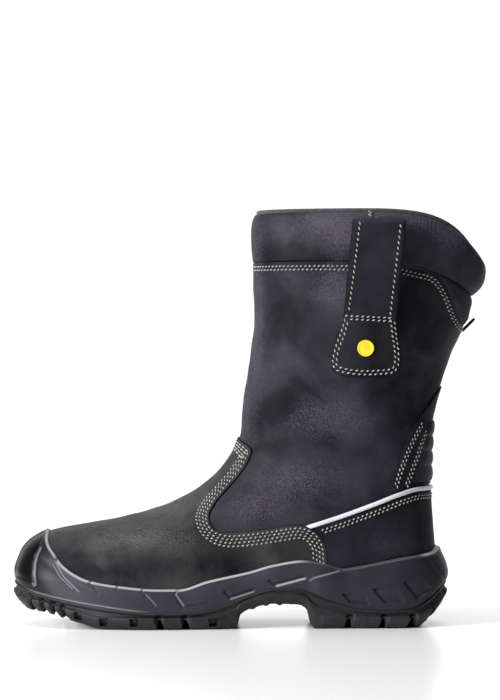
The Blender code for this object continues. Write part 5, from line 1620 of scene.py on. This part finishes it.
def spindles(centres, ways, normals, lengths, thread):
    """Stitches: each is a thread whose radius falls off as sqrt(b - u^2) along it, with b a little over 1,
    arched over the leather by a parabola and sunk at both ends."""
    u = STITCH_RINGS[:, None, None]
    angle = full_turn(STITCH_SIDES)[:, None]
    radius = thread / 2 * np.sqrt(STITCH_BLUNT - u * u)
    sides = np.cross(normals, ways)
    spread = sides[:, None, None] * np.cos(angle) + normals[:, None, None] * np.sin(angle) * STITCH_FLAT
    along = ways[:, None, None] * (lengths[:, None, None, None] / 2 * u)
    arch = normals[:, None, None] * (thread * (STITCH_ARCH - STITCH_FALL * u * u))
    return centres[:, None, None] + along + arch + spread * radius


def sewn(path, normals, pitch, thread, start, share=STITCH_SHARE, slant=STITCH_SLANT):
    """A row of stitches at even steps along a path, from a share of a step on. Each is a share of a step
    long and a little aslant, as in a lockstitch."""
    length = run_length(path)
    count = max(int(length[-1] / pitch), 1)
    middle = (np.arange(count) + start) * length[-1] / count
    reach = pitch * share / 2
    reads = ((middle, path), (middle - reach, path), (middle + reach, path), (middle, normals))
    centre, back, ahead, normal = (
        np.stack([np.interp(at, length, column) for column in values.T], axis=-1) for at, values in reads
    )
    way, normal = unit(ahead - back), unit(normal)
    slanted = way * math.cos(slant) + np.cross(normal, way) * math.sin(slant)
    return spindles(centre, slanted, normal, np.full(count, 2 * reach), thread)


def on_leather(row, turn, lift):
    """A path on the leather and the normals along it."""
    return leather(row, turn, lift), last_normal(row, turn)


def both_sides(row, turn, lift):
    """A path on the outer side and the same on the inner side."""
    return [on_leather(row, turn, lift), on_leather(row, FULL_TURN - turn, lift)]


def smooth_chain(points, count):
    """A smooth curve through side-view points, at even steps along the chain of them."""
    points = np.array(points)
    length = run_length(points)
    at = np.linspace(0, length[-1], count)
    return np.stack([smooth(length, column, at) for column in points.T], axis=-1)


def side_view_path(points, lift, count=60):
    """Row and turn along a smooth chain of side-view points on the outer side."""
    return flank(*smooth_chain(points, count).T, lift)


def inset_chain(points, distance, count=90):
    """A smooth chain of side-view points drawn in at right angles, to the left of its direction."""
    chain = smooth_chain(points, count)
    way = unit(np.gradient(chain, axis=0))
    return chain + distance * np.stack((-way[:, 1], way[:, 0]), axis=-1)


class BootStitches(bpy.types.Operator):
    """Sews every visible row of stitches"""

    bl_idname = "boot.stitches"
    bl_label = "Stitches"

    def execute(self, context):
        """Paths beside the edges of the panels, with a stitch at every step along them."""
        sizes, colours = context.scene.boot_sizes, context.scene.boot_colours
        pitch, thick, self.thread = sizes.pitch / MM, sizes.panel / MM, sizes.thread / MM
        self.finish = spun_thread("bonded_polyester_thread", colours.thread, colours.thread_shade)
        paths, crossings = self.vamp_rows(thick)
        self.put_rows("stitches_vamp", paths, pitch, paths_a_row=2)
        self.put_stitches("stitches_bar_tack", crossings)
        self.put_rows("stitches_collar", self.collar_paths(), pitch)
        self.put_rows("stitches_piping", self.piping_paths(COUNTER_SHARE * thick), pitch)
        self.put_rows("stitches_stay", self.stay_paths(STAY_SHARE * thick), pitch, paths_a_row=2)
        self.put_rows("stitches_loops", self.loop_paths(), sizes.loop_pitch / MM)
        self.put_stitches("stitches_zigzag", self.zigzag())
        return {"FINISHED"}

    def vamp_rows(self, thick):
        """Paths beside the vamp's edge on both sides, and the stitches where each row crosses the instep,
        which falls from the front to its corners by the square of the share across."""
        row, turn = (values[VAMP_CORNER:] for values in vamp_edge())
        across = np.linspace(-1, 1, CROSSING_POINTS)
        paths, crossings = [], []
        for distance, (corner_x, corner_z, front_z) in zip(VAMP_STITCHES, VAMP_TURNS):
            moved_row, moved_turn = beside(row, turn, -distance)
            low = last_point(moved_row, moved_turn)[:, 2] < corner_z
            paths += both_sides(moved_row[low], moved_turn[low], thick)
            corner_row, corner_turn = flank(corner_x, corner_z, thick)
            front_row = row_at(np.zeros(1), [(x, front_z) for x in LEVEL_ENDS], VAMP_ROW, SHIN_ROW)
            crossing_row = front_row + (corner_row - front_row) * across**2
            crossing = on_leather(crossing_row, corner_turn * across, thick)
            crossings.append(sewn(*crossing, CROSSING_PITCH, self.thread, 0.5, CROSSING_SHARE, slant=0.0))
        return paths, crossings

    def collar_paths(self):
        """Below the end of the shaft, whose corners are rounded by a running mean."""
        turn = np.linspace(0, FULL_TURN, COLLAR_STITCH_POINTS)
        rows = np.pad(shaft_top_row(turn), SEAM_ROUNDING, mode="wrap")
        window = np.ones(2 * SEAM_ROUNDING + 1) / (2 * SEAM_ROUNDING + 1)
        seam = np.convolve(rows, window, mode="valid")
        return [on_leather(*beside(seam, turn, -distance), 0.0) for distance in COLLAR_STITCHES]

    def piping_paths(self, lift):
        """Below the piping, behind the vamp."""
        row, turn = piping_path()
        behind_vamp = last_point(row, turn)[:, 0] > PIPING_STITCHES_FROM
        row, turn = row[behind_vamp], turn[behind_vamp]
        return [on_leather(*beside(row, turn, -distance), lift) for distance in PIPING_STITCHES]

    def stay_paths(self, lift):
        """Two rows on either side of each of the stay's two lines."""
        paths = []
        for chain in (STAY_STITCH_FRONT, STAY_STITCH_BACK):
            row, turn = side_view_path(chain, lift)
            for distance in STAY_STITCHES:
                paths += both_sides(*beside(row, turn, distance), lift + STAY_LIP)
        return paths

    def zigzag(self):
        """A stitch from each point of the zigzag to the next, on both sides of the collar."""
        row, turn = flank(*np.array(ZIGZAG).T, ZIGZAG_LIFT)
        marks = []
        for place in (turn, FULL_TURN - turn):
            ends = last(row, place, ZIGZAG_LIFT)
            run, middles = np.diff(ends, axis=0), (ends[1:] + ends[:-1]) / 2
            normals, lengths = last_normal(row, place)[:-1], np.linalg.norm(run, axis=-1)
            marks.append(spindles(middles, unit(run), normals, lengths, ZIGZAG_THREAD * self.thread))
        return marks

    def loop_paths(self):
        """Both edges of each strap, the double row across it, and the double row round the tab."""
        grid = loop_grid()
        normals = loop_normals(grid)
        chains = [np.linspace(*row) for row in LOOP_ROWS]
        chains += [inset_chain(TAB_OUTLINE, inset) for inset in TAB_INSETS]
        paths = [loop_place(grid, normals, *chain.T, LOOP_THICKNESS / 2) for chain in chains]
        return paths + [(mirrored(path), mirrored(normal)) for path, normal in paths]

    def put_rows(self, name, paths, pitch, paths_a_row=1):
        """Sews rows of stitches along paths as one piece, every other row half a step further on. A row
        that has its like on the other side takes two paths."""
        starts = (0.25 + 0.5 * (n // paths_a_row % 2) for n in range(len(paths)))
        groups = [sewn(*path, pitch, self.thread, start) for path, start in zip(paths, starts)]
        self.put_stitches(name, groups)

    def put_stitches(self, name, groups):
        """Joins groups of stitches, each a tube with closed ends, into one piece."""
        points = np.concatenate(groups)
        size = len(STITCH_RINGS) * STITCH_SIDES
        start = (np.arange(len(points)) * size)[:, None, None]
        one = np.array(quads(len(STITCH_RINGS), STITCH_SIDES, closed=True))
        caps = np.array((np.arange(STITCH_SIDES), np.arange(size - STITCH_SIDES, size)))
        faces = (start + one).reshape(-1, 4).tolist() + (start + caps).reshape(-1, STITCH_SIDES).tolist()
        put(name, points, faces, self.finish, "stitch_thread")


CAMERA_HEIGHT, CAMERA_DISTANCE, MM_A_PIXEL, IMAGE_HEIGHT, SENSOR = 191.5, 2200.0, 0.70, 700, 36.0
# In metres: half the floor's side, and how far the camera sees
FLOOR_HALF, CAMERA_REACH = 40.0, 200.0
# Strength of the white behind the boot and to the camera, and of the light elsewhere
BACKDROP, SURROUND = 1.1, 0.06
PAPER_WHITE = "#fbfbfc"


class BootStage(bpy.types.Operator):
    """Makes the pale floor, the studio light and the camera"""

    bl_idname = "boot.stage"
    bl_label = "Stage"

    def execute(self, context):
        """White paper under a white backdrop, a broad light from above and a smaller one from the toe's
        side."""
        scene = context.scene
        scene.view_settings.view_transform = "Standard"
        self.make_floor(scene)
        self.make_surround(scene)
        self.add_light("overhead", "SUN", (0.0, -0.2, 2.5), (0.0, 0.0, 0.0), 2.3, angle=math.radians(45))
        self.add_light("key", "AREA", (-2.0, -1.45, 0.9), (0.0, 0.0, 0.15), 130.0, size=1.0)
        self.make_camera(scene)
        return {"FINISHED"}

    def make_floor(self, scene):
        """A square of paper at height 0."""
        corners = [(x * FLOOR_HALF, y * FLOOR_HALF, 0) for x, y in ((-1, -1), (1, -1), (1, 1), (-1, 1))]
        mesh = bpy.data.meshes.new("floor")
        mesh.from_pydata(corners, [], [(0, 1, 2, 3)])
        mesh.materials.append(studio_paper("pale_studio_paper", hex_colour(PAPER_WHITE)))
        floor = bpy.data.objects.new("floor", mesh)
        scene.collection.objects.link(floor)

    def make_surround(self, scene):
        """White from behind the boot, which fades to near dark towards the front, and white to the
        camera."""
        scene.world = bpy.data.worlds.new("studio")
        scene.world.use_nodes = True
        tree = scene.world.node_tree
        tree.nodes.clear()
        way = add(tree, "SeparateXYZ", {0: add(tree, "TexCoord").outputs["Generated"]})
        behind = add(tree, "MapRange", {
            "Value": way.outputs["Y"], "From Min": 0.45, "From Max": 0.85,
            "To Min": SURROUND, "To Max": BACKDROP})
        ray = add(tree, "LightPath")
        strength = add(tree, "Mix", {
            0: ray.outputs["Is Camera Ray"], 2: behind, 3: BACKDROP}, data_type="FLOAT")
        white = add(tree, "Background", {"Color": (1.0, 1.0, 1.0, 1.0), "Strength": strength})
        add(tree, "OutputWorld", {"Surface": white})

    def make_camera(self, scene):
        """Level, square to the boot's outer side, with a lens that gives the picture's millimetres a
        pixel."""
        camera = bpy.data.objects.new("camera", bpy.data.cameras.new("camera"))
        camera.data.sensor_width = SENSOR
        camera.data.lens = SENSOR * CAMERA_DISTANCE / (MM_A_PIXEL * IMAGE_HEIGHT)
        camera.data.clip_end = CAMERA_REACH
        camera.location = (SHIFT[0] * MM, -CAMERA_DISTANCE * MM, CAMERA_HEIGHT * MM)
        camera.rotation_euler = (math.radians(90), 0, 0)
        scene.collection.objects.link(camera)
        scene.camera = camera

    def add_light(self, name, kind, place, target, power, **settings):
        """A white light at a place, turned towards a target."""
        light = bpy.data.lights.new(name, kind)
        light.energy = power
        for key, value in settings.items():
            setattr(light, key, value)
        lamp = bpy.data.objects.new(name, light)
        away = Vector(place) - Vector(target)
        lamp.location = place
        lamp.rotation_euler = away.to_track_quat("Z", "Y").to_euler()
        bpy.context.scene.collection.objects.link(lamp)


class BootPanel(bpy.types.Panel):
    """Lists the boot's pieces"""

    bl_idname = "VIEW3D_PT_safety_boot"
    bl_label = "Safety boot"
    bl_space_type = "VIEW_3D"
    bl_region_type = "UI"
    bl_category = "Safety boot"

    def draw(self, context):
        """A button for each operator, then every size and colour."""
        for operator in OPERATORS:
            self.layout.operator(operator.bl_idname)
        for group in (context.scene.boot_sizes, context.scene.boot_colours):
            for name in group.__annotations__:
                self.layout.prop(group, name)


OPERATORS = (
    BootOutsole, BootMidsole, BootInside, BootUpper, BootPanels, BootCollar, BootHeelPad, BootPiping,
    BootPullLoops, BootBadge, BootStitches, BootStage,
)
CLASSES = (BootSizes, BootColours, *OPERATORS, BootPanel)


def register():
    """Registers the classes and gives the scene its sizes and colours."""
    for made in CLASSES:
        bpy.utils.register_class(made)
    bpy.types.Scene.boot_sizes = bpy.props.PointerProperty(type=BootSizes)
    bpy.types.Scene.boot_colours = bpy.props.PointerProperty(type=BootColours)


def unregister():
    """Undoes register in the opposite order."""
    del bpy.types.Scene.boot_colours
    del bpy.types.Scene.boot_sizes
    for made in reversed(CLASSES):
        bpy.utils.unregister_class(made)


def main():
    """Makes the pieces and the stage."""
    register()
    for operator in OPERATORS:
        group, name = operator.bl_idname.split(".")
        getattr(getattr(bpy.ops, group), name)()


if __name__ == "__main__":
    main()
